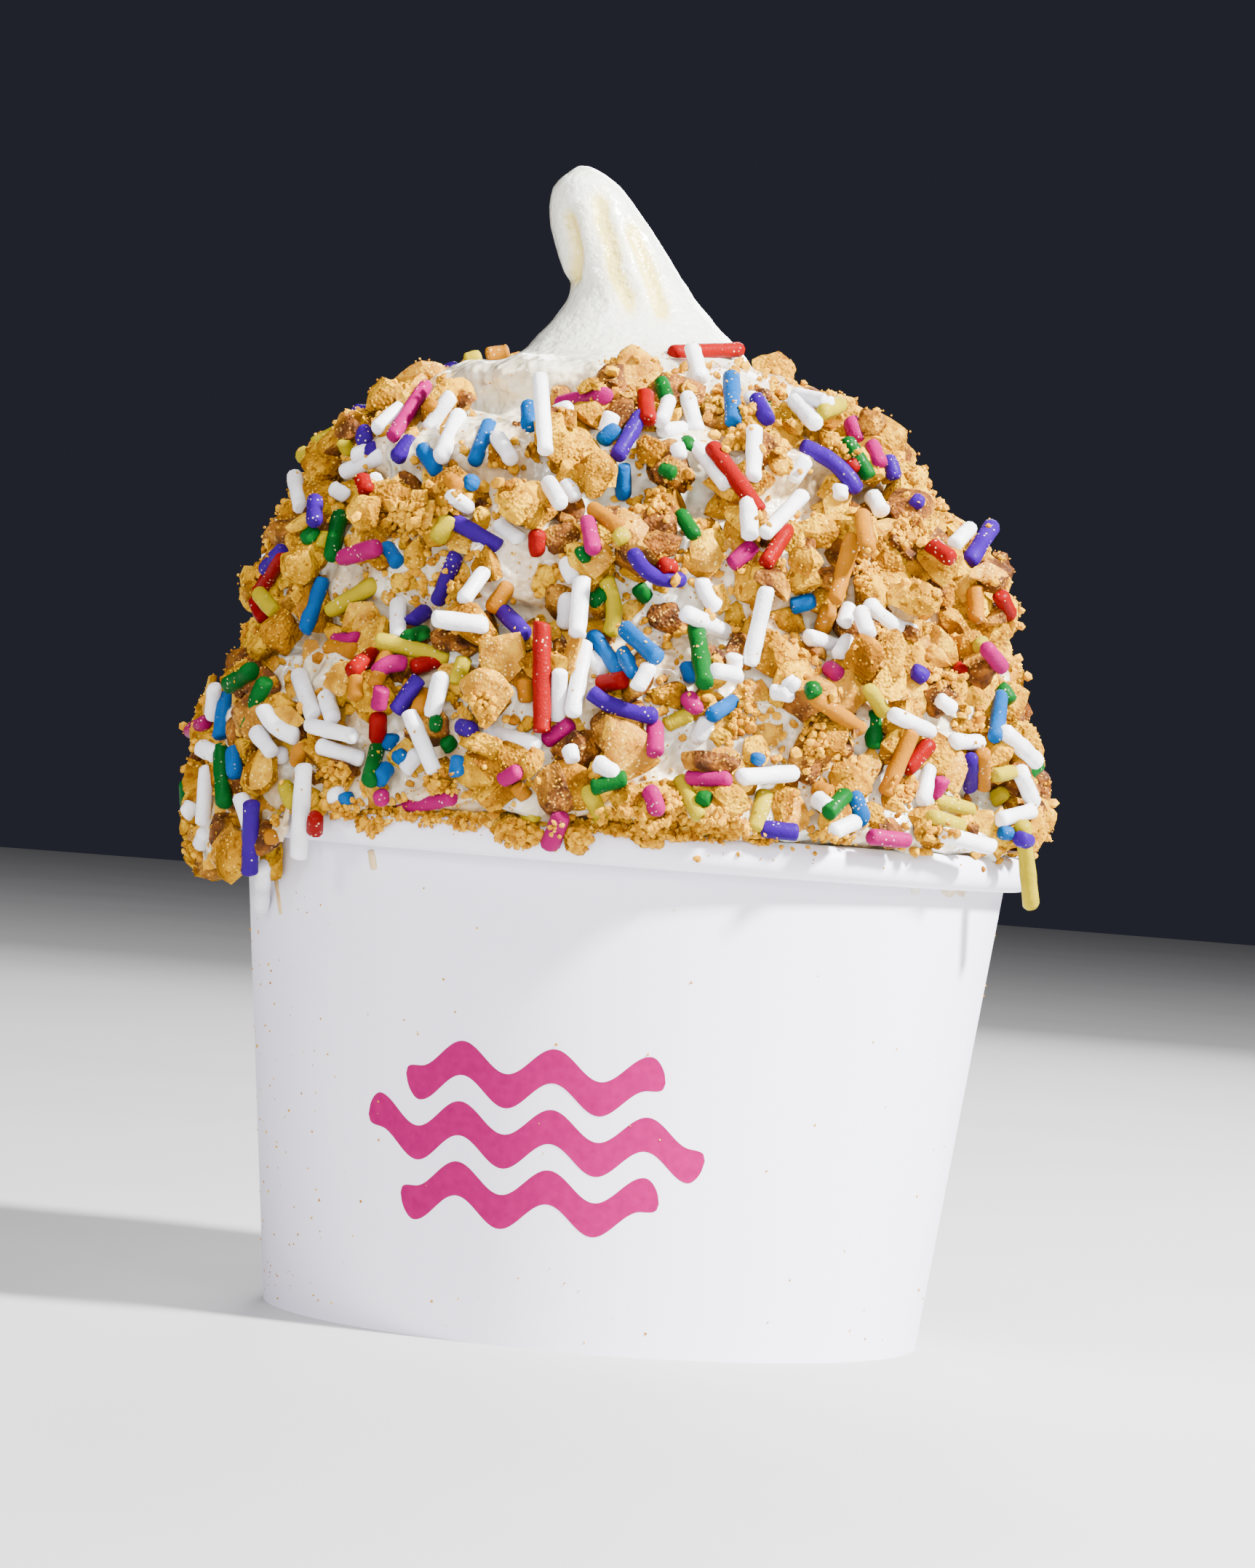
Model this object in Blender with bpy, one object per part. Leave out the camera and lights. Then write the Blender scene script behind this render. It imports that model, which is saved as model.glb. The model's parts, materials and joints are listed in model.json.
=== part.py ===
"""Soft serve ice cream heaped in a paper cup, coated with rods of sugar and chopped nuts.

Metres, +Z up. The origin is on the cup's axis, at the level that it stands on, and -Y is the front.
Azimuths turn anticlockwise seen from above: 0 is +X, the right, and 180 degrees is the left.
Three solids: the cup's wall with its curled rim and hemmed foot, the cup's bottom disc, and the
ice cream with what is stuck to it.
"""

import math
import random

import bmesh
import bpy
from mathutils import Matrix, Vector

# Driving dimensions of the cup.
CUP_HEIGHT = 0.058
RIM_DIAMETER = 0.095
FOOT_DIAMETER = 0.0764
WALL_UNDER_RIM_DIAMETER = 0.0886
PAPER = 0.0004  # thickness of the paperboard
GAP = 0.0003  # clearance between neighbouring pieces

# The curled rim, an oval roll of paper.
CURL_WIDTH = 0.0034
CURL_HEIGHT = 0.0040
CURL_END = math.radians(-120)  # where the paper's edge stops, short of the wall
CURL_STEPS = 10

# The foot: the wall is folded up inside round the flange of the bottom disc.
HEM_HEIGHT = 0.0054
HEM_SLOT = 0.0010
DISC_HEIGHT = 0.0060  # underside of the bottom disc
CUP_SEGMENTS = 60

# The lap seam up the back of the wall, where the sheet's edge lies over itself.
SEAM_AZIMUTH = math.radians(100)
SEAM_RELIEF = 0.0003
SEAM_EDGE = 0.08  # width of the sheet's edge, as a share of one segment

# Ice cream: one thick rope laid in a rising spiral, which ends in a leaning peak.
MOUND_RADIUS = 0.0484
GROOVE_FOOT = 0.076  # height of the groove between the first two coils, at the left
GROOVE_RISE = 0.0168  # its climb in the first turn
GROOVE_SLOWING = 0.0016  # how much less it climbs in each turn after that
SPIRAL_TURNS = 4.2
GROOVE_DEPTH = 0.0024
COIL_FOOT = 0.057  # where the lowest coil starts
COIL_SQUARENESS = 1.8  # 2 makes each coil's side an ellipse, and less makes it more pointed
CROWN_FROM = 0.1065  # the last coil rounds over from here up to the peak's foot
LEAN_LOW = -0.0009  # the coils' centre, along X, below the upper coils
LEAN_HIGH = -0.0030  # and at the upper coils
LEAN_FROM = 0.084
LEAN_TO = 0.098

# The peak.
STEM_FOOT = 0.1120
STEM_FOOT_RADIUS = 0.0145
STEM_RADIUS = 0.0039
STEM_FLARE = 0.0066  # height over which the foot's flare fades
STEM_START_X = -0.0034
STEM_BEND_FROM = 0.1155
STEM_BEND = -22.5  # sideways lean for each square unit of height
HEAD_FOOT = 0.1295
PEAK_TOP = 0.1348

# Where the ice cream has run over the rim, at the left and a little to the back.
DROOP_AZIMUTH = math.radians(186)
DROOP_HALF_WIDTH = math.radians(36)
DROOP_EDGE = math.radians(32)
DROOP_DEPTH = 0.0052
LIP_ANGLE = math.radians(105)  # how far round the rim's roll the ice cream reaches
DROOP_ANGLE = math.radians(-20)  # and how far where it has run over
DROOP_LOW = 0.051

# Grid of the ice cream's skin.
SKIN_SEGMENTS = 48
CURL_ROWS = 6
COIL_ROWS = 17
MOUND_LOW = 0.060
MOUND_HIGH = 0.108
LIP_BLEND = 0.066  # rows below this close up towards the lip

# What is stuck to it.
SEED = 11
ROD_RADIUS = 0.00095
ROD_LENGTHS = (0.0048, 0.0100)
ROD_COUNT = 70
NUT_LENGTHS = (0.0045, 0.0085)
NUT_COUNT = 62
NUT_CORNERS = 9
CANDIDATES = 14  # spots drawn for each one kept, which is the one farthest from the rest
TILT = 0.20
TRIES = 8
RIM_CLEARANCE = 0.0004
MOST_REACH = 0.0512  # nothing laid by the rule reaches farther out than this
# Rods placed by hand at the front, as (x, height) of one end and of the other, seen from the front.
FRONT_RODS = (
    ((-0.0120, 0.0816), (-0.0109, 0.0680)),
    ((0.0004, 0.1133), (0.0088, 0.1149)),
    ((0.0150, 0.0935), (0.0235, 0.0905)),
    ((-0.0330, 0.0720), (-0.0262, 0.0765)),
    ((0.0050, 0.0700), (0.0125, 0.0675)),
    ((0.0275, 0.0790), (0.0325, 0.0725)),
)
# And two at the right rim, by both ends: one lies across it and one hangs down outside it.
RIM_RODS = (
    ((0.0362, -0.0235, 0.0606), (0.0470, -0.0212, 0.0590)),
    ((0.0449, -0.0112, 0.0628), (0.0486, -0.0121, 0.0525)),
)
BARE_AZIMUTH = math.radians(222)  # the upper coil shows bare here
BARE_HALF_WIDTH = math.radians(30)
BARE_FROM = 0.104


def clear_scene():
    for obj in list(bpy.data.objects):
        bpy.data.objects.remove(obj)


def material(name, colour, roughness):
    made = bpy.data.materials.new(name)
    made.use_nodes = True
    shader = made.node_tree.nodes["Principled BSDF"]
    shader.inputs["Base Color"].default_value = (*colour, 1.0)
    shader.inputs["Roughness"].default_value = roughness
    shader.inputs["Metallic"].default_value = 0.0
    return made


def add_object(name, bm, paint, collection=None):
    mesh = bpy.data.meshes.new(name)
    bm.to_mesh(mesh)
    bm.free()
    mesh.materials.append(paint)
    obj = bpy.data.objects.new(name, mesh)
    (collection or bpy.context.scene.collection).objects.link(obj)
    return obj


def shade_round(obj, angle=math.radians(40)):
    obj.data.shade_smooth()
    obj.data.set_sharp_from_angle(angle=angle)


def smoothstep(low, high, value):
    share = min(1.0, max(0.0, (value - low) / (high - low)))
    return share * share * (3 - 2 * share)


# ---------------------------------------------------------------- the cup


def wall_radius(height):
    """Outer radius of the cup's wall."""
    foot = FOOT_DIAMETER / 2
    top = WALL_UNDER_RIM_DIAMETER / 2
    return foot + (top - foot) * height / (CUP_HEIGHT - CURL_HEIGHT)


def wall_inside(height):
    return wall_radius(height) - PAPER


def curl_centre():
    """Centre of the rim's roll, as a radius and a height."""
    return RIM_DIAMETER / 2 - CURL_WIDTH / 2, CUP_HEIGHT - CURL_HEIGHT / 2


def oval_point(angle, offset):
    """A point on the rim's roll, moved out of it by offset."""
    radius, height = curl_centre()
    across = CURL_WIDTH / 2 + offset
    up = CURL_HEIGHT / 2 + offset
    return radius + across * math.cos(angle), height + up * math.sin(angle)


def turned(profile, segments):
    """A bmesh of the closed profile of (radius, height) points, turned once round Z."""
    bm = bmesh.new()
    corners = [bm.verts.new((radius, 0.0, height)) for radius, height in profile]
    edges = [bm.edges.new(pair) for pair in zip(corners, corners[1:] + corners[:1])]
    bmesh.ops.spin(
        bm,
        geom=corners + edges,
        axis=(0, 0, 1),
        cent=(0, 0, 0),
        steps=segments,
        angle=math.tau,
        use_merge=True,
    )
    bmesh.ops.remove_doubles(bm, verts=bm.verts, dist=1e-7)
    bmesh.ops.recalc_face_normals(bm, faces=bm.faces)
    return bm


def wall_profile():
    """Round the sheet's section: up the inside, over the curl, down the outside, and round the hem."""
    angles = [math.pi + (CURL_END - math.pi) * k / CURL_STEPS for k in range(CURL_STEPS + 1)]
    over = [oval_point(angle, 0.0) for angle in angles]
    under = [oval_point(angle, -PAPER) for angle in reversed(angles)]
    leg = wall_inside(0) - HEM_SLOT
    slope = wall_radius(HEM_HEIGHT) - wall_radius(0)
    hem = [
        (wall_radius(0), 0.0),
        (leg - PAPER, 0.0),
        (leg - PAPER + slope, HEM_HEIGHT),
        (leg + slope, HEM_HEIGHT),
        (leg, PAPER),
        (wall_inside(PAPER), PAPER),
    ]
    return over + under + hem


def add_seam(bm):
    """Lifts a tapering strip of the wall's outer face, with a crisp edge on one side."""
    step = math.tau / CUP_SEGMENTS
    first = round(SEAM_AZIMUTH / step)
    lifts = {first + 1: 1.0, first + 2: 0.5}
    curl_low = CUP_HEIGHT - CURL_HEIGHT
    for vert in bm.verts:
        radius = vert.co.xy.length
        outer_face = abs(radius - wall_radius(vert.co.z)) < PAPER / 4
        if not outer_face or vert.co.z > curl_low + CURL_HEIGHT / 2:
            continue
        place = round(math.atan2(vert.co.y, vert.co.x) % math.tau / step)
        if place not in lifts:
            continue
        azimuth = (first + SEAM_EDGE) * step if place == first + 1 else place * step
        radius += SEAM_RELIEF * lifts[place]
        vert.co.x = radius * math.cos(azimuth)
        vert.co.y = radius * math.sin(azimuth)


def make_wall(paint):
    bm = turned(wall_profile(), CUP_SEGMENTS)
    add_seam(bm)
    shade_round(add_object("cup_wall", bm, paint))


def make_bottom(paint):
    """A disc whose flange hangs into the slot of the hem."""
    top, foot = DISC_HEIGHT + PAPER, PAPER + GAP
    profile = [
        (0.0, top),
        (0.0, DISC_HEIGHT),
        (wall_inside(DISC_HEIGHT) - GAP - PAPER, DISC_HEIGHT),
        (wall_inside(foot) - GAP - PAPER, foot),
        (wall_inside(foot) - GAP, foot),
        (wall_inside(top) - GAP, top),
    ]
    shade_round(add_object("cup_bottom", turned(profile, CUP_SEGMENTS), paint))


# ---------------------------------------------------------- the ice cream


def groove_height(turn):
    return GROOVE_FOOT + GROOVE_RISE * turn - GROOVE_SLOWING * turn * turn


def groove_turn(height):
    """The inverse of groove_height."""
    inside = GROOVE_RISE**2 - 4 * GROOVE_SLOWING * (height - GROOVE_FOOT)
    return (GROOVE_RISE - math.sqrt(max(0.0, inside))) / (2 * GROOVE_SLOWING)


def rope_reach(turn):
    """How far out the rope's side stands at that turn of the spiral."""
    share = min(1.0, max(0.0, (turn + 1) / SPIRAL_TURNS))
    return MOUND_RADIUS * (1 - share**1.5) ** 0.66


def groove_share(turn):
    """The groove fades in over the half turn before the left side."""
    return smoothstep(-0.5, 0.0, turn)


def coil_radius(azimuth, height):
    """Radius of the coils round their centre: a round side for each coil, with a groove between two."""
    share = ((azimuth - math.pi) / math.tau) % 1.0
    turn = math.floor(groove_turn(height) - share) + share
    low, high = groove_height(turn), groove_height(turn + 1)
    low += (COIL_FOOT - low) * (1 - groove_share(turn))
    across = max(-1.0, min(1.0, (2 * height - low - high) / (high - low)))
    reach = rope_reach(turn)
    if across < 0:
        drop = GROOVE_DEPTH * groove_share(turn)
    else:
        drop = reach - rope_reach(turn + 1) + GROOVE_DEPTH * groove_share(turn + 1)
    bulge = (1 - abs(across) ** COIL_SQUARENESS) ** (1 / COIL_SQUARENESS)
    return reach - drop * (1 - bulge)


def stem_radius(height):
    if height > HEAD_FOOT:
        share = (height - HEAD_FOOT) / (PEAK_TOP - HEAD_FOOT)
        return stem_radius(HEAD_FOOT) * math.sqrt(max(0.0, 1 - share * share))
    flare = STEM_FOOT_RADIUS - STEM_RADIUS
    return STEM_RADIUS + flare * math.exp((STEM_FOOT - height) / STEM_FLARE)


def centre_x(height):
    """The line that the rings are centred on: it leans, then follows the peak."""
    coils = LEAN_LOW + (LEAN_HIGH - LEAN_LOW) * smoothstep(LEAN_FROM, LEAN_TO, height)
    stem = STEM_START_X + STEM_BEND * max(0.0, height - STEM_BEND_FROM) ** 2
    return coils + (stem - coils) * smoothstep(STEM_FOOT - 0.002, STEM_FOOT + 0.005, height)


def unevenness(azimuth, height):
    """Slow swells that keep the mound from being a turned shape."""
    swell = math.sin(3 * azimuth + 90 * height) + 0.7 * math.sin(5 * azimuth - 160 * height + 1.3)
    return 0.0004 * swell * (1 - smoothstep(0.100, 0.112, height))


def mound_point(azimuth, height):
    """A point of the skin above the rim."""
    radius = coil_radius(azimuth, height) + unevenness(azimuth, height)
    if height > CROWN_FROM:
        share = min(1.0, (height - CROWN_FROM) / (STEM_FOOT - CROWN_FROM))
        stem = stem_radius(max(height, STEM_FOOT))
        radius = stem + max(0.0, radius - stem) * math.sqrt(1 - share**2)
    x = centre_x(height) + radius * math.cos(azimuth)
    return Vector((x, radius * math.sin(azimuth), height))


def droop_share(azimuth):
    away = abs((azimuth - DROOP_AZIMUTH + math.pi) % math.tau - math.pi)
    return 1 - smoothstep(DROOP_HALF_WIDTH - DROOP_EDGE, DROOP_HALF_WIDTH + DROOP_EDGE, away)


def polar(azimuth, radius, height):
    return Vector((radius * math.cos(azimuth), radius * math.sin(azimuth), height))


def lip_points(azimuth):
    """The skin's way over the rim: round the roll, down beside it in the droop, and round the lip."""
    share = droop_share(azimuth)
    wrap, hang = smoothstep(0.0, 0.55, share), smoothstep(0.45, 1.0, share)
    off = GAP + 0.0001 + 0.0005 * wrap
    first, last = math.pi, LIP_ANGLE + (DROOP_ANGLE - LIP_ANGLE) * wrap
    rows = []
    for k in range(CURL_ROWS):
        angle = first + (last - first) * k / (CURL_ROWS - 1)
        rows.append(polar(azimuth, *oval_point(angle, off)))
    radius, height = oval_point(last, off)
    radius += 0.0004 * (1 - wrap)
    height -= DROOP_DEPTH * hang
    rows.append(polar(azimuth, radius, height))
    rows.append(polar(azimuth, radius + 0.0006, height + 0.0004 - 0.0006 * hang))
    return rows, height + 0.0012


def skin_column(azimuth):
    """The skin's points at one azimuth, from the cup's bottom disc to just under the tip."""
    low = DISC_HEIGHT + PAPER + GAP
    high = CUP_HEIGHT - CURL_HEIGHT
    rows = [polar(azimuth, wall_inside(z) - GAP, z) for z in (low, high)]
    lip, start = lip_points(azimuth)
    rows += lip
    for k in range(COIL_ROWS + 1):
        height = MOUND_LOW + (MOUND_HIGH - MOUND_LOW) * k / COIL_ROWS
        if height < LIP_BLEND:
            height = start + (height - MOUND_LOW) * (LIP_BLEND - start) / (LIP_BLEND - MOUND_LOW)
        rows.append(mound_point(azimuth, height))
    for height in (0.1093, 0.1104, 0.1115, 0.1126, 0.114, 0.116, 0.1185, 0.1215, 0.1255):
        rows.append(mound_point(azimuth, height))
    for share in (0.0, 0.4, 0.7, 0.9, 0.985):
        rows.append(mound_point(azimuth, HEAD_FOOT + share * (PEAK_TOP - HEAD_FOOT)))
    return rows


def make_skin(paint):
    bm = bmesh.new()
    columns = []
    for k in range(SKIN_SEGMENTS):
        column = skin_column(math.tau * k / SKIN_SEGMENTS)
        columns.append([bm.verts.new(point) for point in column])
    for left, right in zip(columns, columns[1:] + columns[:1]):
        for row in range(len(left) - 1):
            bm.faces.new((left[row], right[row], right[row + 1], left[row + 1]))
    floor = bm.verts.new((0, 0, columns[0][0].co.z))
    tip = bm.verts.new((centre_x(PEAK_TOP), 0, PEAK_TOP))
    for left, right in zip(columns, columns[1:] + columns[:1]):
        bm.faces.new((right[0], left[0], floor))
        bm.faces.new((left[-1], right[-1], tip))
    bmesh.ops.triangulate(bm, faces=bm.faces)
    bmesh.ops.recalc_face_normals(bm, faces=bm.faces)
    return add_object("ice_cream", bm, paint)


def make_folded_tip(paint, collection):
    """The end of the rope, folded over the head of the peak and hanging down behind its left side."""
    bm = bmesh.new()
    bmesh.ops.create_icosphere(bm, subdivisions=2, radius=1.0)
    for vert in bm.verts:
        taper = 1 - 0.35 * smoothstep(0.2, -1.0, vert.co.z)
        vert.co = Vector((0.0029 * taper * vert.co.x, 0.0038 * taper * vert.co.y, 0.0062 * vert.co.z))
    place = Matrix.Translation((-0.0119, 0.0026, 0.1274)) @ Matrix.Rotation(math.radians(6), 4, "Y")
    bmesh.ops.transform(bm, matrix=place, verts=bm.verts)
    add_object("folded_tip", bm, paint, collection)


# ------------------------------------------------------ what is stuck to it


def skin_frame(azimuth, height):
    """A point of the skin with its outward normal and a level direction along the skin."""
    small = 1e-4
    point = mound_point(azimuth, height)
    along = mound_point(azimuth + small / MOUND_RADIUS, height) - point
    up = mound_point(azimuth, height + small) - point
    return point, along.cross(up).normalized(), along.normalized()


def is_bare(azimuth, height):
    away = abs((azimuth - BARE_AZIMUTH + math.pi) % math.tau - math.pi)
    return height > BARE_FROM and away < BARE_HALF_WIDTH


def spread(count, taken, draw):
    """Spots on the mound, each the one of several drawn at random that is farthest from the rest."""
    spots = []
    while len(spots) < count:
        best, widest = None, 0.0
        for _ in range(CANDIDATES):
            azimuth, height = draw.uniform(0, math.tau), draw.uniform(DROOP_LOW, STEM_FOOT - 0.0005)
            if height < lip_points(azimuth)[1] or is_bare(azimuth, height):
                continue
            spot = skin_frame(azimuth, height)
            away = min(((spot[0] - other).length for other in taken), default=1.0)
            if away > widest:
                best, widest = spot, away
        if best:
            spots.append(best)
            taken.append(best[0])
    return spots


def front_point(x, height):
    """The point of the skin seen from the front at that x and height."""
    low, high = math.pi, math.tau
    for _ in range(40):
        middle = (low + high) / 2
        if mound_point(middle, height).x < x:
            low = middle
        else:
            high = middle
    return mound_point(middle, height)


def clears_cup(bm):
    """True if the corners and the middles of the edges stay off the rim and wall, and not too far out."""
    middle, level = curl_centre()
    points = [vert.co for vert in bm.verts]
    points += [(edge.verts[0].co + edge.verts[1].co) / 2 for edge in bm.edges]
    for point in points:
        radius = point.xy.length
        if radius > MOST_REACH:
            return False
        across = (radius - middle) / (CURL_WIDTH / 2 + RIM_CLEARANCE)
        up = (point.z - level) / (CURL_HEIGHT / 2 + RIM_CLEARANCE)
        near_wall = point.z < level and radius > wall_inside(point.z) - RIM_CLEARANCE
        beside = radius > RIM_DIAMETER / 2 + RIM_CLEARANCE
        if math.hypot(across, up) < 1 or (near_wall and not beside):
            return False
    return True


def lying_frame(normal, along, turn, tilt):
    """A frame whose Z lies along the skin, turned round the normal and tilted off the skin."""
    lying = Matrix.Rotation(turn, 3, normal) @ along
    lying = (lying * math.cos(tilt) + normal * math.sin(tilt)).normalized()
    side = normal.cross(lying).normalized()
    return Matrix((side, lying.cross(side), lying)).transposed().to_4x4()


def make_rod(length):
    bm = bmesh.new()
    bmesh.ops.create_cone(
        bm, cap_ends=True, segments=6, radius1=ROD_RADIUS, radius2=ROD_RADIUS, depth=length
    )
    return bm, ROD_RADIUS


def make_nut(length, draw):
    """A rough chunk: corners spread round a ball by the golden angle, each moved a little."""
    half = Vector((length * draw.uniform(0.3, 0.42), length * draw.uniform(0.22, 0.34), length / 2))
    bm = bmesh.new()
    for k in range(NUT_CORNERS):
        level = 1 - 2 * (k + 0.5) / NUT_CORNERS
        azimuth = k * math.pi * (3 - math.sqrt(5)) + draw.uniform(-0.5, 0.5)
        flat = math.sqrt(1 - level * level)
        corner = Vector((flat * math.cos(azimuth), flat * math.sin(azimuth), level))
        bm.verts.new(Vector(a * b * draw.uniform(0.85, 1.1) for a, b in zip(corner, half)))
    bmesh.ops.convex_hull(bm, input=bm.verts)
    bmesh.ops.recalc_face_normals(bm, faces=bm.faces)
    return bm, half.y


def stick_on(name, made, sunk, spot, paint, collection, draw):
    """Lays a made shape on the skin at the spot, turned so that it clears the cup."""
    bm, half_height = made
    point, normal, along = spot
    for _ in range(TRIES):
        frame = lying_frame(normal, along, draw.uniform(0, math.pi), draw.uniform(-TILT, TILT))
        place = Matrix.Translation(point + normal * half_height * sunk) @ frame
        bmesh.ops.transform(bm, matrix=place, verts=bm.verts)
        if clears_cup(bm):
            add_object(name, bm, paint, collection)
            return
        bmesh.ops.transform(bm, matrix=place.inverted(), verts=bm.verts)
    bm.free()


def place_rod(start, end, paint, collection):
    """A rod from one point to another."""
    bm = make_rod((end - start).length)[0]
    turn = Vector((0, 0, 1)).rotation_difference(end - start).to_matrix().to_4x4()
    place = Matrix.Translation((start + end) / 2) @ turn
    bmesh.ops.transform(bm, matrix=place, verts=bm.verts)
    add_object("rod", bm, paint, collection)


def add_toppings(sugar, nut, collection):
    draw = random.Random(SEED)
    taken = []
    for first, second in FRONT_RODS:
        ends = [front_point(*place) for place in (first, second)]
        ends = [end + Vector((end.x, end.y, 0)).normalized() * ROD_RADIUS * 0.6 for end in ends]
        place_rod(*ends, sugar, collection)
        taken.append((ends[0] + ends[1]) / 2)
    for first, second in RIM_RODS:
        place_rod(Vector(first), Vector(second), sugar, collection)
        taken.append(Vector(first))
    for spot in spread(ROD_COUNT, taken, draw):
        rod = make_rod(draw.uniform(*ROD_LENGTHS))
        stick_on("rod", rod, 0.5, spot, sugar, collection, draw)
    for spot in spread(NUT_COUNT, taken, draw):
        chunk = make_nut(draw.uniform(*NUT_LENGTHS), draw)
        stick_on("nut", chunk, 0.35, spot, nut, collection, draw)


def keep_largest_shell(mesh):
    """Drops loose scraps, and fills sealed hollows by dropping the shells round them."""
    bm = bmesh.new()
    bm.from_mesh(mesh)
    left, shells = set(bm.verts), []
    while left:
        shell, edge = set(), [left.pop()]
        while edge:
            vert = edge.pop()
            shell.add(vert)
            linked = {other.other_vert(vert) for other in vert.link_edges}
            edge += list(linked & left)
            left -= linked
        shells.append(shell)
    shells.sort(key=len)
    for shell in shells[:-1]:
        bmesh.ops.delete(bm, geom=list(shell), context="VERTS")
    bmesh.ops.triangulate(bm, faces=bm.faces)
    bm.to_mesh(mesh)
    bm.free()


def fuse(obj, collection):
    """Joins everything in the collection to obj with one Boolean union, and applies it."""
    union = obj.modifiers.new("fuse", "BOOLEAN")
    union.operation = "UNION"
    # EXACT leaves edges with four faces where three pieces meet here. Every piece is closed.
    union.solver = "MANIFOLD"
    union.operand_type = "COLLECTION"
    union.collection = collection
    bpy.context.view_layer.update()
    graph = bpy.context.evaluated_depsgraph_get()
    fused = bpy.data.meshes.new_from_object(obj.evaluated_get(graph))
    obj.modifiers.clear()
    obj.data = fused
    for used in list(collection.objects):
        bpy.data.objects.remove(used)
    bpy.data.collections.remove(collection)
    keep_largest_shell(fused)


def make_ice_cream(cream, sugar, nut):
    skin = make_skin(cream)
    stuck = bpy.data.collections.new("stuck_on")
    bpy.context.scene.collection.children.link(stuck)
    make_folded_tip(cream, stuck)
    add_toppings(sugar, nut, stuck)
    fuse(skin, stuck)
    shade_round(skin, math.radians(35))


def main():
    clear_scene()
    paper = material("white_paper", (0.86, 0.86, 0.85), 0.55)
    cream = material("vanilla_cream", (0.95, 0.92, 0.84), 0.35)
    sugar = material("sugar_rods", (0.85, 0.12, 0.45), 0.30)
    nut = material("chopped_nuts", (0.72, 0.47, 0.22), 0.75)
    make_wall(paper)
    make_bottom(paper)
    make_ice_cream(cream, sugar, nut)


main()
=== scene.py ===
"""Looks of the soft serve cup: the paper, its print, the cream, and all that is stuck to it.

Metres, +Z up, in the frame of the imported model: the origin is on the cup's axis, at the level that
it stands on, and -Y is the front. Azimuths turn anticlockwise seen from above: 0 is +X, the right.
"""

import itertools
import json
import math

import bpy
import numpy as np
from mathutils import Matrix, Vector
from mathutils.bvhtree import BVHTree

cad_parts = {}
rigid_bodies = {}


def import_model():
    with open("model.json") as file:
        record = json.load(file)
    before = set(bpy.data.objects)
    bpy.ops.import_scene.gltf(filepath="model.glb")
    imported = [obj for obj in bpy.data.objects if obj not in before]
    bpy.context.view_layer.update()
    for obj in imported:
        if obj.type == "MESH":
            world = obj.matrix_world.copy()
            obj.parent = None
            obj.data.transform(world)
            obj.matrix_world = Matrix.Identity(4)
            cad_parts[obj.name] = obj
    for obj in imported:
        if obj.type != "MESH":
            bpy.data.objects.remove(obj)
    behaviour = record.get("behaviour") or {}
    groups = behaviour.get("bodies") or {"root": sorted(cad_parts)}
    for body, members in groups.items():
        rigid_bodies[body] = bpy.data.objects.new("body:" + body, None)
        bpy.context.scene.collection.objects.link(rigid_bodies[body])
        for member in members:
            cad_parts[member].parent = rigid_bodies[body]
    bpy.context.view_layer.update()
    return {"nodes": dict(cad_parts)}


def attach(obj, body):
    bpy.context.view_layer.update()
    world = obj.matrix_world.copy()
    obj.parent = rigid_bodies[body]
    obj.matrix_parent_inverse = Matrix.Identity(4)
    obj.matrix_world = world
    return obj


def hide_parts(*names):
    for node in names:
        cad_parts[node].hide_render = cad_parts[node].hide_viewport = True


# ------------------------------------------------------------ driving sizes
# The cup and the coils, as the solids have them.
CUP_HEIGHT = 0.058
RIM_DIAMETER = 0.095
FOOT_DIAMETER = 0.0764
WALL_UNDER_RIM_DIAMETER = 0.0886
PAPER = 0.0004
GAP = 0.0003
CURL_WIDTH = 0.0034
CURL_HEIGHT = 0.0040
CURL_END = math.radians(-120)
CURL_STEPS = 20
HEM_HEIGHT = 0.0054
HEM_SLOT = 0.0010
DISC_HEIGHT = 0.0060
SEAM_AZIMUTH = math.radians(102.5)
SEAM_WIDTH = math.radians(17.5)
SEAM_RELIEF = 0.0003
CUP_COLUMNS = 240
PLUG_COLUMNS = 60

MOUND_RADIUS = 0.0484
GROOVE_FOOT = 0.076
GROOVE_RISE = 0.0168
GROOVE_SLOWING = 0.0016
SPIRAL_TURNS = 4.2
ROPE_POWERS = (1.5, 0.66)  # how round the heap is
GROOVE_DEPTH = 0.0024
COIL_FOOT = 0.057
COIL_SQUARENESS = 1.8
CROWN_FROM = 0.1065
LEAN_LOW = -0.0009
LEAN_HIGH = -0.0030
LEAN_FROM = 0.084
LEAN_TO = 0.098

STEM_FOOT = 0.1120
STEM_FOOT_RADIUS = 0.0145
STEM_RADIUS = 0.0039
STEM_FLARE = 0.0066
STEM_START_X = -0.0034
STEM_BEND_FROM = 0.1155
STEM_BEND = -22.5
# The heights over which the stem takes up its own middle line, and its own outlines.
STEM_LEAN_FADE = (STEM_FOOT - 0.002, STEM_FOOT + 0.005)
STEM_OUTLINE_FADE = (STEM_FOOT + 0.0005, STEM_FOOT + 0.0030)
HEAD_FOOT = 0.1295
PEAK_TOP = 0.1348
HEAD_ROWS = (0.0, 0.2, 0.4, 0.55, 0.7, 0.8, 0.9, 0.95, 0.985)
SWELL = 0.0004
SWELL_FADE = (0.100, 0.112)

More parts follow.
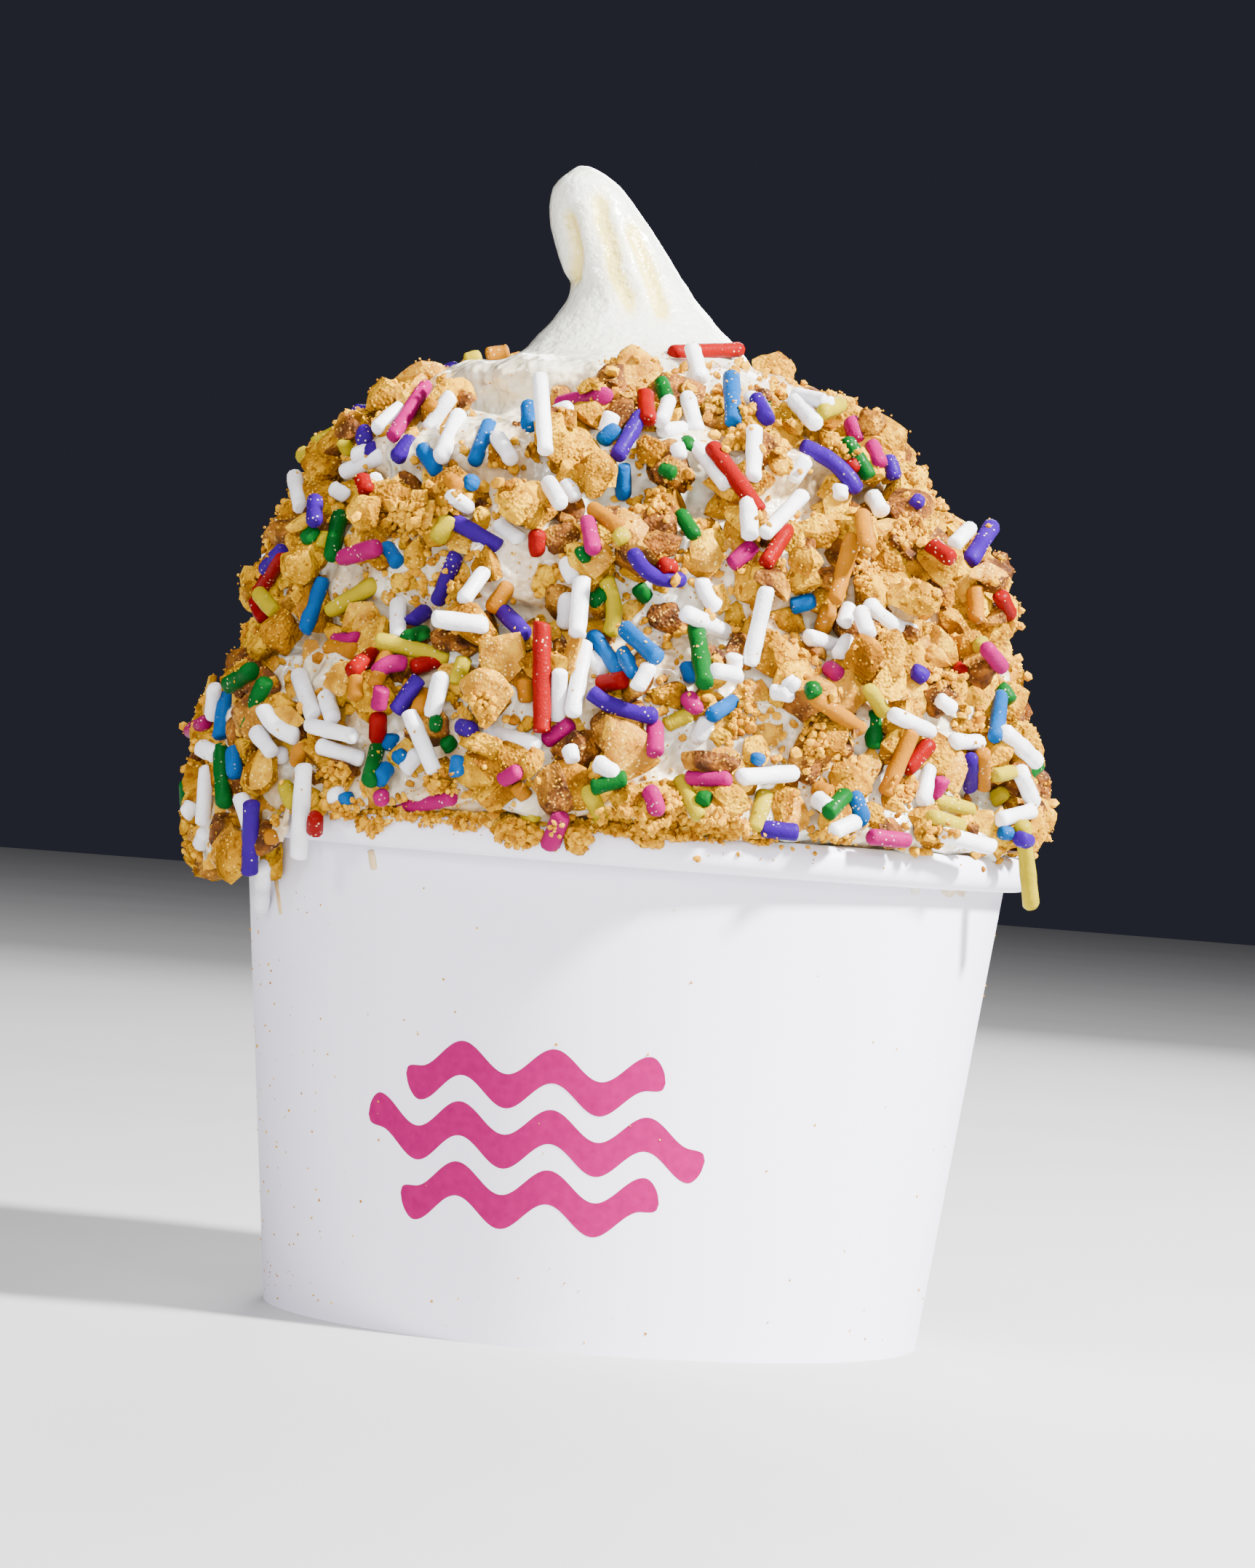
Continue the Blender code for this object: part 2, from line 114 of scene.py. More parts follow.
DROOP_AZIMUTH = math.radians(186)
DROOP_HALF_WIDTH = math.radians(36)
DROOP_EDGE = math.radians(32)
DROOP_DEPTH = 0.0052
WRAPS_BY, HANGS_FROM = 0.55, 0.45  # the shares by which it is over the rim and from which it hangs
LIP_ANGLE = math.radians(105)
DROOP_ANGLE = math.radians(-20)
LIP_ROWS = 9
LIP_OFF, LIP_THICKER = 0.0001, 0.0005  # how far it is off the rim, and more at the droop
LIP_BULGE = 0.0004
LIP_STEP = 0.0006
LIP_RISE = 0.0012
MOUND_LOW = 0.060
MOUND_HIGH = 0.108
LIP_BLEND = 0.066

# The rope's end, folded over the head of the peak: a tapered oval ball.
FOLD_HALF = (0.0026, 0.0036, 0.0056)
FOLD_TAPER = 0.35
FOLD_TILT = math.radians(6)
FOLD_PLACE = (-0.0114, 0.0026, 0.1276)
FOLD_STEPS = 10

# How the photograph sees it: the pixel of the cup's foot on its axis, pixels per metre there,
# and the camera's roll.
PHOTO_BASE = (810, 1816)
PHOTO_SCALE = 11740
MM_PER_M = 1000
PHOTO_SIZE = (1725, 2156)
ROLL = math.radians(4.5)
CAMERA_DISTANCE = 0.650
SENSOR = 36.0

# The cream's mesh.
SKIN_COLUMNS = 300
COIL_STEP = 0.0005
STEM_STEP = 0.0004
VOXEL = 0.00066
INSET = 0.0015  # how far in the cream lies under what covers it
CLIMB = 0.0006  # how much higher it stands round what is stuck in it
CLIMB_REACH = 0.0012
CLIMB_PASSES = 3  # of smoothing
TOP_FLOOR = 0.0535  # the cream below this is a plain plug inside the cup
PLUG_LAP, PLUG_FIT = 0.001, 0.997
COVERED_FROM, COVERED_TO = (0.058, 0.064), (0.1070, 0.1105)  # the cream is covered in between
PEAK_FROM = (0.108, 0.114)
LUMPS = ((0.00090, 0.0052, 0), (0.00085, 0.0026, 7))  # depth, size and shift
RIPPLES = ((0.00010, 0.0016, (1, 1, 0.45)), (0.00005, 0.0007, (1, 1, 1)))  # depth, size, stretch

# Sprinkles.
ROD_RADIUS = 0.00095
ROD_LENGTHS = (0.0042, 0.0066, 0.0100)  # the shortest, the most usual and the longest
ROD_SIDES = 10
RING_GAP = 0.0007
ROD_ENDS = (0.28, 0.62)  # how long the rounded ends are, in radii
ROD_POWERS = (2.0, 3.2)  # how square they are
ROD_WIDTHS = (0.94, 1.07)
ROD_OVAL, ROD_UNEVEN, ROD_ROUGH = 0.07, 0.035, 0.02  # across, along and point by point
ROD_END_LIMIT = 0.9  # the most of its half length that an end takes up
ROD_END_MORE = 0.25  # how much farther in the end's rings start, in radii
ROD_SLANT, ROD_SLANT_FROM = 0.12, 0.3  # how askew the ends are, and from which share of the half
ROD_BENDS = (0, 0, 0, 0, 0.14, 0.25, -0.2)  # how far the middle is aside, in half lengths
ROD_SINKS = (0.0002, 0.0010)
HIGHEST_ROD = 0.0056  # over the skin
ROD_PASSES = 5
RODS_PER_PASS = 105
LONGEST_ROD = 0.0112
SHORTEST_HALF = 0.0008
SEEN_ROD_RISE = 0.35  # how far one of the photograph is off what it lies on, in radii
LEAST_SLOPE_SQUARED = 0.03  # how steep a long one of the photograph may always lie
STEEP = math.tan(math.radians(35))
STEEP_SEEN = math.tan(math.radians(55))
ROD_REACH = 0.0515  # no sprinkle's middle line goes farther out from REACH_MIDDLE
PIECE_REACH = 0.0522  # nor any other piece
REACH_MIDDLE = (-0.0005, -0.0003)
RIDGE_MARGIN = 0.0016
OFF_BARE, OFF_CHUNKS = 0.0015, 0.0008  # how far off those laid by rule keep
PAST_OUTLINE, ENDS_PAST_OUTLINE = 0.0010, 0.0008
FACING = -0.25  # the skin faces the camera where its normal's Y is below this
WELL_SEEN = -0.45  # and it is well in view below this, where few are laid by rule
WELL_SEEN_SKIPS = 0.93
LOWEST_PIECE, LOWEST_GRAIN = 0.050, 0.048
SEED = 29

# How the places are found where things come to rest.
DROP_FROM = 0.012  # over the skin
DROP_REACH, LINE_REACH, SIGHT_REACH = 0.03, 0.05, 2.0
REST_SPOTS = 7
SIGHT_LIFT = 0.040
TRIES = 6

RED, PINK, ORANGE, YELLOW = "red", "pink", "orange", "yellow"
GREEN, BLUE, PURPLE, WHITE = "green", "blue", "purple", "white"
# Linear colours, and each one's share of the sprinkles laid by rule.
SUGAR = {
    RED: ((0.190, 0.0003, 0.0003), 0.08),
    PINK: ((0.255, 0.00005, 0.082), 0.10),
    ORANGE: ((0.345, 0.126, 0.00002), 0.09),
    YELLOW: ((0.360, 0.275, 0.00002), 0.09),
    GREEN: ((0.0002, 0.072, 0.008), 0.09),
    BLUE: ((0.0001, 0.070, 0.245), 0.09),
    PURPLE: ((0.027, 0.0002, 0.150), 0.10),
    WHITE: ((0.86, 0.86, 0.88), 0.36),
}

# Sprinkles seen at the front: the photograph's pixels of both ends as x, y, x, y, and for a bent
# one of its middle too.
SEEN_RODS = {
    RED: (
        (922, 485, 1019, 481), (976, 610, 1045, 704), (1084, 725, 1051, 778), (887, 541, 890, 580),
        (738, 727, 738, 766), (496, 653, 505, 679), (1277, 747, 1310, 770), (1165, 630, 1178, 650),
        (1374, 816, 1389, 847), (745, 855, 745, 1008), (355, 816, 391, 760), (350, 824, 363, 852),
        (480, 924, 516, 898), (565, 919, 609, 906), (520, 981, 519, 1020), (823, 941, 862, 934),
        (907, 776, 928, 781), (1281, 1019, 1244, 1061), (1311, 915, 1326, 929),
        (434, 1121, 432, 1145),
    ),
    PINK: (
        (587, 528, 538, 602), (468, 768, 521, 752), (808, 715, 816, 758), (1037, 748, 1004, 778),
        (1168, 575, 1180, 607), (1196, 607, 1211, 642), (1354, 889, 1379, 920),
        (460, 881, 491, 879), (517, 929, 560, 913, 533, 914), (525, 944, 520, 977),
        (747, 1021, 788, 993), (900, 995, 901, 1038), (941, 952, 961, 982), (941, 1069, 1012, 1072),
        (688, 1074, 715, 1059), (1137, 917, 1154, 929), (1297, 1069, 1283, 1097),
        (1194, 1150, 1250, 1156), (225, 1003, 284, 992), (523, 1086, 525, 1107),
        (549, 1110, 624, 1097), (773, 1117, 754, 1168), (888, 1081, 902, 1123, 899, 1100),
    ),
    ORANGE: (
        (598, 550, 589, 567), (814, 699, 850, 725), (1173, 734, 1147, 829), (1185, 704, 1193, 757),
        (1140, 836, 1129, 869), (1340, 805, 1342, 856), (617, 659, 630, 669), (702, 801, 673, 842),
        (449, 890, 489, 896), (534, 896, 514, 944), (489, 930, 486, 962), (585, 952, 575, 980),
        (721, 931, 723, 967), (1121, 960, 1185, 1004), (1255, 1004, 1216, 1094),
        (1348, 988, 1350, 1033), (1351, 1034, 1351, 1083), (1118, 1083, 1143, 1091),
        (413, 1027, 408, 1049), (366, 1152, 380, 1150), (706, 1078, 726, 1098),
    ),
    YELLOW: (
        (471, 606, 482, 625), (451, 731, 442, 753), (619, 710, 599, 745), (862, 730, 845, 745),
        (1127, 568, 1160, 554), (1347, 877, 1349, 895), (354, 814, 377, 842), (450, 842, 519, 801),
        (516, 880, 618, 906), (639, 903, 627, 941), (831, 794, 837, 875, 844, 837),
        (913, 998, 953, 980), (1365, 1066, 1393, 1061), (1362, 1103, 1384, 1086),
        (1283, 1100, 1337, 1114), (1278, 1122, 1323, 1136), (1053, 1086, 1036, 1142),
        (1194, 946, 1216, 982), (391, 1078, 402, 1107), (722, 1119, 738, 1119),
        (807, 1086, 827, 1126), (933, 1067, 964, 1126), (1405, 1128, 1431, 1252),
    ),
    GREEN: (
        (908, 522, 917, 550), (944, 605, 947, 620), (908, 643, 929, 653), (933, 702, 957, 740),
        (468, 704, 455, 768), (436, 727, 415, 745), (1162, 603, 1196, 658), (557, 878, 585, 869),
        (811, 829, 831, 815), (795, 765, 808, 760), (874, 804, 892, 824), (956, 857, 969, 942),
        (519, 1026, 504, 1076), (590, 993, 608, 996), (811, 1083, 862, 1069),
        (1198, 976, 1202, 1030), (1115, 940, 1121, 960), (1163, 1091, 1137, 1120),
        (354, 933, 312, 998), (311, 944, 349, 920), (303, 1027, 306, 1108), (964, 1098, 972, 1099),
        (1373, 943, 1390, 966), (613, 1018, 621, 1028),
    ),
    BLUE: (
        (674, 579, 651, 638), (579, 615, 601, 648), (651, 653, 644, 674), (530, 750, 548, 776),
        (850, 585, 824, 610), (856, 636, 857, 687), (1005, 514, 1008, 582), (727, 556, 728, 587),
        (1086, 834, 1121, 825), (418, 870, 445, 794), (542, 1008, 532, 1033),
        (560, 1036, 542, 1046), (534, 1054, 519, 1074), (631, 1038, 628, 1069),
        (813, 870, 856, 929), (856, 862, 905, 906), (854, 893, 872, 929), (976, 985, 1009, 964),
        (943, 913, 953, 936), (1038, 1051, 1045, 1036), (1376, 954, 1368, 1016),
        (1174, 1091, 1188, 1131), (1378, 1145, 1386, 1146), (310, 955, 303, 1016),
        (320, 1027, 323, 1070), (472, 1091, 480, 1105),
    ),
    PURPLE: (
        (883, 567, 847, 630), (1039, 546, 1055, 579), (622, 715, 688, 753), (628, 761, 601, 830),
        (567, 602, 543, 633), (501, 590, 501, 609), (520, 613, 499, 630), (433, 684, 432, 720),
        (869, 755, 943, 796, 897, 791), (1099, 613, 1180, 678, 1147, 637), (1221, 627, 1230, 660),
        (1252, 686, 1268, 693), (1365, 721, 1332, 773), (363, 786, 389, 755), (562, 857, 588, 838),
        (690, 839, 723, 873), (577, 931, 543, 980), (631, 998, 651, 1005),
        (810, 949, 905, 985, 850, 974), (1253, 920, 1275, 934), (1334, 1041, 1334, 1086),
        (1045, 1139, 1098, 1145), (314, 1099, 343, 1204), (1402, 1153, 1416, 1157),
    ),
    WHITE: (
        (742, 515, 750, 623), (622, 541, 587, 592), (633, 567, 604, 633), (553, 559, 515, 592),
        (683, 600, 704, 633), (528, 625, 469, 651), (484, 630, 510, 618), (454, 669, 479, 684),
        (404, 651, 413, 699), (619, 681, 645, 699), (683, 720, 719, 745), (752, 661, 772, 694),
        (775, 661, 793, 689), (842, 567, 832, 597), (920, 549, 908, 582), (944, 544, 959, 595),
        (908, 592, 941, 590), (929, 608, 936, 633), (957, 613, 1000, 669), (1037, 587, 1036, 659),
        (1028, 689, 1031, 738), (1110, 629, 1086, 662), (1105, 679, 1050, 735),
        (1091, 543, 1139, 553), (1091, 548, 1122, 584), (1155, 665, 1155, 688),
        (1198, 681, 1213, 704), (1335, 724, 1310, 750), (1194, 828, 1258, 867, 1222, 855),
        (1168, 831, 1158, 861), (1182, 839, 1194, 873), (1109, 875, 1149, 889),
        (1055, 806, 1030, 916), (547, 827, 547, 880), (667, 783, 635, 827), (593, 850, 672, 860),
        (608, 924, 593, 987), (409, 924, 432, 987), (447, 954, 458, 990),
        (340, 968, 412, 1013, 368, 997), (345, 1000, 376, 1038), (423, 997, 489, 1013),
        (434, 1024, 501, 1045), (561, 977, 598, 1063), (577, 1033, 554, 1061),
        (667, 1005, 740, 1026), (777, 768, 788, 799), (780, 814, 776, 865), (800, 794, 793, 875),
        (805, 880, 786, 985), (770, 919, 765, 993), (808, 903, 833, 924), (895, 913, 874, 949),
        (974, 985, 956, 1021), (964, 794, 989, 837, 972, 820), (979, 921, 1017, 929),
        (1009, 898, 1010, 922), (782, 1026, 788, 1048), (816, 1046, 849, 1067),
        (1015, 1069, 1095, 1063), (1166, 878, 1152, 903), (1379, 1004, 1427, 1049),
        (1309, 1019, 1348, 1021), (1278, 1052, 1267, 1108), (1401, 1058, 1421, 1106),
        (1373, 1128, 1421, 1114), (1292, 1146, 1424, 1170), (1121, 1097, 1140, 1111),
        (1289, 960, 1311, 976), (1227, 982, 1281, 1007), (1079, 934, 1098, 946),
        (1059, 951, 1090, 955), (1146, 1145, 1180, 1128), (295, 941, 291, 990),
        (386, 1027, 386, 1050), (284, 1054, 278, 1134), (254, 1123, 266, 1103),
        (282, 1142, 274, 1164), (330, 1091, 346, 1142), (418, 1049, 410, 1182),
        (362, 1188, 359, 1252), (272, 1027, 298, 1038), (456, 1097, 469, 1091),
        (951, 477, 964, 522),
    ),
}

# Sprinkles that show over the ridge from behind it.
BEHIND_RODS = {YELLOW: ((662, 490, 638, 497),), ORANGE: ((700, 484, 668, 488),)}

COOKIE, TOASTED, FLAKE = "cookie", "toasted", "flake"
# Pieces of nut and cookie seen at the front: the pixel of the middle, width and height in
# millimetres, the kind, and the turn in degrees where there is one.
SEEN_CHUNKS = (
    (768, 540, 3.2, 6.2, TOASTED), (873, 512, 6.0, 8.6, FLAKE, -25), (986, 541, 4.8, 3.8, FLAKE),
    (1067, 506, 6.6, 4.6, COOKIE, 15), (442, 643, 5.2, 5.4, COOKIE),
    (479, 590, 5.2, 3.6, TOASTED, -30), (548, 546, 4.2, 3.6, FLAKE), (638, 548, 3.0, 2.2, TOASTED),
    (714, 588, 2.2, 1.8, TOASTED), (710, 697, 4.2, 4.6, COOKIE), (771, 740, 4.4, 4.0, TOASTED),
    (536, 690, 6.4, 5.4, COOKIE), (500, 704, 4.6, 4.6, COOKIE), (902, 728, 5.4, 6.2, TOASTED),
    (819, 652, 4.8, 5.8, COOKIE), (896, 620, 4.2, 4.0, COOKIE), (971, 757, 4.0, 5.4, FLAKE),
    (1052, 748, 2.0, 4.0, TOASTED), (1198, 581, 4.6, 3.6, TOASTED, 30),
    (1223, 766, 4.8, 4.6, COOKIE), (1258, 822, 6.6, 4.6, COOKIE), (1359, 789, 5.2, 2.8, FLAKE),
    (1124, 731, 5.4, 4.2, COOKIE), (496, 850, 5.2, 4.0, FLAKE, 10), (560, 801, 6.0, 3.4, COOKIE),
    (575, 762, 4.0, 4.6, COOKIE), (412, 775, 5.0, 5.6, COOKIE), (386, 868, 5.2, 5.8, COOKIE),
    (404, 824, 4.2, 2.8, TOASTED, 35), (427, 903, 3.0, 4.0, FLAKE), (692, 901, 5.6, 6.8, FLAKE),
    (668, 955, 6.4, 7.4, FLAKE), (623, 880, 6.6, 3.0, TOASTED), (391, 987, 5.2, 2.8, FLAKE),
    (380, 966, 5.0, 2.4, COOKIE), (662, 1026, 5.0, 3.6, COOKIE), (473, 1059, 4.2, 3.8, TOASTED),
    (359, 1057, 4.0, 5.4, FLAKE), (335, 1032, 3.2, 4.0, COOKIE), (365, 1118, 4.2, 5.0, FLAKE),
    (268, 1075, 3.6, 6.2, COOKIE, 10), (325, 1176, 5.0, 7.0, COOKIE, -20),
    (749, 799, 4.0, 4.2, COOKIE), (821, 765, 4.0, 5.2, FLAKE), (867, 834, 3.4, 4.6, FLAKE),
    (918, 857, 5.0, 6.4, TOASTED), (905, 750, 6.0, 3.8, TOASTED), (1004, 855, 3.8, 7.8, COOKIE, -8),
    (915, 954, 4.8, 5.0, COOKIE), (869, 1036, 6.4, 7.0, FLAKE, 35), (976, 1046, 7.2, 3.2, TOASTED),
    (1050, 1005, 4.2, 8.0, FLAKE), (1281, 802, 5.0, 4.6, TOASTED), (1107, 797, 5.0, 4.4, COOKIE),
    (1188, 903, 4.6, 5.4, COOKIE), (1225, 903, 3.6, 6.6, COOKIE), (1281, 892, 6.6, 3.6, FLAKE, -35),
    (1317, 859, 6.0, 3.8, COOKIE, -35), (1163, 954, 5.4, 5.4, FLAKE),
    (1253, 958, 5.6, 5.6, FLAKE, -30), (1348, 915, 4.6, 5.6, TOASTED),
    (1115, 1033, 5.0, 8.2, TOASTED, -15), (1196, 1052, 2.8, 5.2, FLAKE),
    (1401, 1013, 3.6, 4.6, COOKIE), (1079, 850, 5.4, 4.2, COOKIE), (1065, 903, 5.4, 4.6, COOKIE),
    (734, 1050, 3.0, 4.0, COOKIE), (681, 1095, 5.4, 5.8, COOKIE), (765, 1083, 5.6, 6.6, TOASTED),
    (863, 1100, 4.4, 3.6, COOKIE), (703, 1142, 5.0, 3.0, COOKIE), (793, 1154, 3.0, 4.0, COOKIE),
    (888, 1149, 4.4, 3.0, COOKIE), (1003, 1100, 5.0, 4.0, COOKIE), (1077, 1110, 4.6, 5.0, COOKIE),
    (1322, 1010, 3.4, 4.6, COOKIE), (1225, 1106, 4.4, 3.6, COOKIE), (1314, 1062, 3.0, 5.0, FLAKE),
)
# Where the cream shows between the pieces, by pixel and radius: nothing is laid there by rule.
BARE_SPOTS = (
    ((640, 560), 0.0040), ((690, 545), 0.0046), ((1078, 690), 0.0028), ((700, 815), 0.0022),
    ((600, 600), 0.0026), ((655, 640), 0.0016), ((990, 640), 0.0018), ((960, 690), 0.0014),
    ((420, 925), 0.0022), ((748, 760), 0.0016), ((1300, 990), 0.0014),
)
# Clusters of sandy crumbs seen at the front: the pixel of the middle, half width and half height in
# millimetres, and how many.
SANDY = (
    (475, 1110, 2.6, 1.5, 90), (508, 1134, 1.7, 1.4, 60), (583, 1127, 3.2, 0.8, 60),
    (640, 1131, 2.2, 0.9, 60), (712, 1147, 2.6, 1.7, 190), (797, 1155, 1.4, 1.5, 90),
    (768, 1140, 1.8, 1.0, 60), (850, 1130, 3.4, 1.6, 210), (893, 1147, 1.7, 1.5, 100),
    (930, 1140, 2.8, 1.4, 150), (990, 1136, 3.6, 1.4, 170), (1045, 1152, 2.0, 0.8, 60),
    (1145, 1150, 2.6, 0.9, 70), (1295, 1143, 2.6, 1.3, 70), (608, 1076, 2.0, 1.8, 80),
    (460, 1066, 2.0, 1.5, 60), (1016, 975, 1.3, 3.0, 70), (1245, 1082, 1.9, 1.8, 80),
    (1347, 1005, 1.3, 2.4, 60), (1120, 1015, 1.6, 3.2, 80), (560, 715, 3.0, 2.4, 90),
    (500, 640, 2.0, 1.6, 50), (620, 690, 2.6, 2.0, 60), (1160, 620, 2.0, 1.2, 50),
    (1020, 600, 2.4, 1.4, 60), (1010, 560, 2.6, 1.2, 60), (1250, 730, 2.2, 2.0, 60),
    (1190, 780, 1.4, 3.2, 60), (900, 690, 2.4, 1.6, 50), (650, 975, 2.8, 2.2, 70),
    (620, 800, 1.8, 2.2, 40), (1040, 720, 1.6, 2.0, 40), (1300, 930, 2.4, 1.2, 60),
    (930, 1110, 1.4, 2.0, 60),
)
# Stained cream drips down the wall, the last partly painted shadow: top and end pixels, radius.
DRIPS_AND_SHADOW_SMEAR = (
    ((374, 1160), (380, 1208), 0.0007), ((380, 1200), (388, 1257), 0.00042),
    # A smear of cream under a soft shadow: its tan colour is partly painted shadow.
    ((512, 1168), (517, 1196), 0.0006),
)
DRIP_SUNK = 0.6  # how deep in the wall a drip's middle line is, in radii
# The heap's outline as the photograph has it: height, left and right.
HEAP_OUTLINE = (
    (0.050, -0.0490, 0.0460), (0.052, -0.0507, 0.0490), (0.056, -0.0522, 0.0490),
    (0.060, -0.0518, 0.0475), (0.066, -0.0510, 0.0470), (0.070, -0.0500, 0.0465),
    (0.074, -0.0440, 0.0440), (0.078, -0.0442, 0.0422), (0.082, -0.0455, 0.0415),
    (0.086, -0.0440, 0.0405), (0.090, -0.0425, 0.0413), (0.094, -0.0430, 0.0380),
    (0.098, -0.0410, 0.0325), (0.102, -0.0382, 0.0290), (0.106, -0.0325, 0.0262),
    (0.110, -0.0245, 0.0190),
)
HEAP_TOP = 0.1105
# The left of the highest coil is bare too.
BARE_AZIMUTH = math.radians(222)
BARE_HALF_WIDTH = math.radians(30)
BARE_FROM = 0.1035
# Two long hollows down the front of the peak.
STREAKS = (
    ((814, 261), (826, 284), (828, 308), (840, 340), (845, 379), (863, 417), (872, 456)),
    ((860, 300), (876, 337), (892, 379), (905, 420), (917, 458)),
)
STREAK_DEPTH = 0.00065
STREAK_WIDTH = 0.00085
# The crease between the peak and the rope's end, which is folded down over its left side.
CREASE = ((776, 285), (783, 310), (788, 330), (792, 353), (789, 380), (786, 400))
CREASE_DEPTH = 0.0013
CREASE_WIDTH = 0.00062
# The peak's two outlines, from the coils up to the tip.
PEAK_LEFT = (
    (686, 514), (704, 490), (729, 468), (752, 449), (772, 426), (783, 406), (784, 391), (775, 374),
    (767, 350), (758, 321), (754, 299), (755, 280), (759, 261), (768, 247), (780, 237), (791, 232),
)
PEAK_RIGHT = (
    (1050, 512), (1030, 492), (1007, 471), (991, 455), (959, 417), (940, 388), (921, 356),
    (895, 315), (865, 272), (852, 256), (844, 249), (832, 239), (815, 231),
)

# Chunks laid by rule.
CHUNK_PASSES = 5
CHUNKS_PER_PASS = 190
BIT_PASSES = 3
BITS_PER_PASS = 430
CHUNK_SIZES = (0.0038, 0.0072)
BIT_SIZES = (0.0018, 0.0034)
CHUNK_FULLNESS = 1.12
CHUNK_CORNERS = (9, 14)
GOLDEN_TURN = 2.39996
CORNER_SHIFT = 0.28
CORNER_WEAR, WEAR_POWER = 0.10, 5
FLAKE_FLATNESS = 0.5
# How thick a piece is, as shares of its smaller side, and how deep its lumps and its grain are.
THICKNESS = {COOKIE: (0.55, 0.85), TOASTED: (0.5, 0.8), FLAKE: (0.22, 0.38)}
ROUGHNESS = {COOKIE: (0.09, 0.00006), TOASTED: (0.09, 0.00006), FLAKE: (0.035, 0.00002)}
KIND_SHARES = {COOKIE: 0.56, TOASTED: 0.22, FLAKE: 0.22}
PIECE_NAMES = {COOKIE: "cookie_chunks", TOASTED: "toasted_nuts", FLAKE: "pale_nuts"}
HIGHEST_CHUNK = 0.0042  # over the skin
SEEN_CHUNK_RISE = 0.25  # how far its middle is over what it lies on, in half thicknesses
DOME_FROM, DOME_RISE = 0.075, 1.1  # how the heap's side turns up with its height
SEEN_TURN = 1.1  # how much the pieces of the photograph are turned to the camera
CHUNK_TILT = 0.45
CHUNK_PROPORTIONS = (0.75, 1.35)
CHUNK_RISES = (0.15, 0.75)  # the same for those laid by rule
CHUNK_SUNK = 0.35  # how far in those lie that would pass the outline, in half thicknesses
CHUNK_REACH = 0.9  # how far a piece reaches from its middle, as a share of its largest half size
# How far those laid by rule keep off the rest, as shares of the smallest size.
CHUNK_OFF_BARE, CHUNK_OFF_RIDGE, CHUNK_OFF_SEEN = 0.4, 0.5, 0.3
CHUNK_DENSITY, MORE_AT_RIGHT, RIGHT_FROM = 0.70, 0.35, 0.03
CHUNK_PATCHES, CHUNK_PATCHINESS, FEWER_AT_LEFT = 0.016, 0.4, -0.3
HANGING_REACH = 0.8  # the share of its reach that counts below its middle
DROOP_HANGS_FROM = 0.4  # the share of the droop from which pieces hang over the rim
KEPT_OFF_BEHIND = 0.7  # the share kept off the rim behind
CHUNK_PAST_OUTLINE = 0.0006
CUP_SHARP, CHUNK_SHARP = math.radians(40), math.radians(30)
SEEN_STEPS, CHUNK_STEPS, BIT_STEPS = 6, 3, 2
CLUSTER = 0.0009
CRUMBS, CRUMB_SIZES = 19000, (0.0006, 0.0019)
DUST, DUST_SIZES = 30000, (0.0002, 0.00055)
SANDY_SIZES = (0.0003, 0.0005, 0.0015)
SANDY_DEPTH, SANDY_OFF_RODS = 0.0007, 0.85
SANDY_OUTWARDS = 0.6  # under 1 for more of them near the cluster's edge
SANDY_FINEST = 0.4  # how small they may get, as a share, where a cluster is small
GRAIN_STRETCH, GRAIN_ROUGHNESS = (0.65, 1.2), (0.7, 1.15)
GRAIN_PATCHES, GRAINS_EVERYWHERE, GRAINS_IN_PATCHES = 0.009, 0.35, 0.65
GRAIN_RISE = 0.2  # how far a grain's middle is off what it lies on, as a share of its size
USUAL_GRAIN = 0.3  # how far the most usual size is from the smallest to the largest
GRAIN_OFF_SEEN = 0.3  # how far a grain keeps off the sprinkles of the photograph, in sizes


def smoothstep(low, high, value):
    share = np.clip((value - low) / (high - low), 0.0, 1.0)
    return share * share * (3 - 2 * share)


LATTICE = np.random.default_rng(3).uniform(-1, 1, (24, 24, 24))


def bumps(points, size):
    """Smooth noise between -1 and 1 whose bumps are size across."""
    place = np.asarray(points) / size
    cell = np.floor(place).astype(int)
    share = place - cell
    share = share * share * (3 - 2 * share)
    total = np.zeros(len(place))
    for corner in itertools.product((0, 1), repeat=3):
        x, y, z = ((cell + corner) % len(LATTICE)).T
        weight = np.prod(np.where(corner, share, 1 - share), axis=1)
        total += weight * LATTICE[x, y, z]
    return total


def from_photo(pixel):
    """The (x, height) that a pixel shows in the upright plane through the cup's axis."""
    right, down = pixel[0] - PHOTO_BASE[0], pixel[1] - PHOTO_BASE[1]
    across = right * math.cos(ROLL) + down * math.sin(ROLL)
    up = right * math.sin(ROLL) - down * math.cos(ROLL)
    return across / PHOTO_SCALE, up / PHOTO_SCALE


def outline(pixels):
    """Heights from low to high, and x at each."""
    places = np.array([from_photo(pixel) for pixel in pixels])
    places = places[np.argsort(places[:, 1])]
    return places[:, 1], places[:, 0]


LEFT_OUTLINE, RIGHT_OUTLINE = outline(PEAK_LEFT), outline(PEAK_RIGHT)
CAMERA_X, CAMERA_Z = from_photo((PHOTO_SIZE[0] / 2, PHOTO_SIZE[1] / 2))
CAMERA = Vector((CAMERA_X, -CAMERA_DISTANCE, CAMERA_Z))


# ------------------------------------------------------------- mesh helpers


def new_object(name, points, faces, paint=None):
    """A mesh object in the scene, from an array of points and an array or a list of faces."""
    mesh = bpy.data.meshes.new(name)
    mesh.from_pydata(points.tolist(), [], faces if isinstance(faces, list) else faces.tolist())
    if paint:
        mesh.materials.append(paint)
    made = bpy.data.objects.new(name, mesh)
    bpy.context.scene.collection.objects.link(made)
    return made


def add_piece(name, points, faces, paint, slot="soft_serve"):
    """A smooth object that rides on the cup's one body."""
    piece = new_object(name, points, faces, paint)
    piece.data.shade_smooth()
    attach(piece, "root")
    return piece


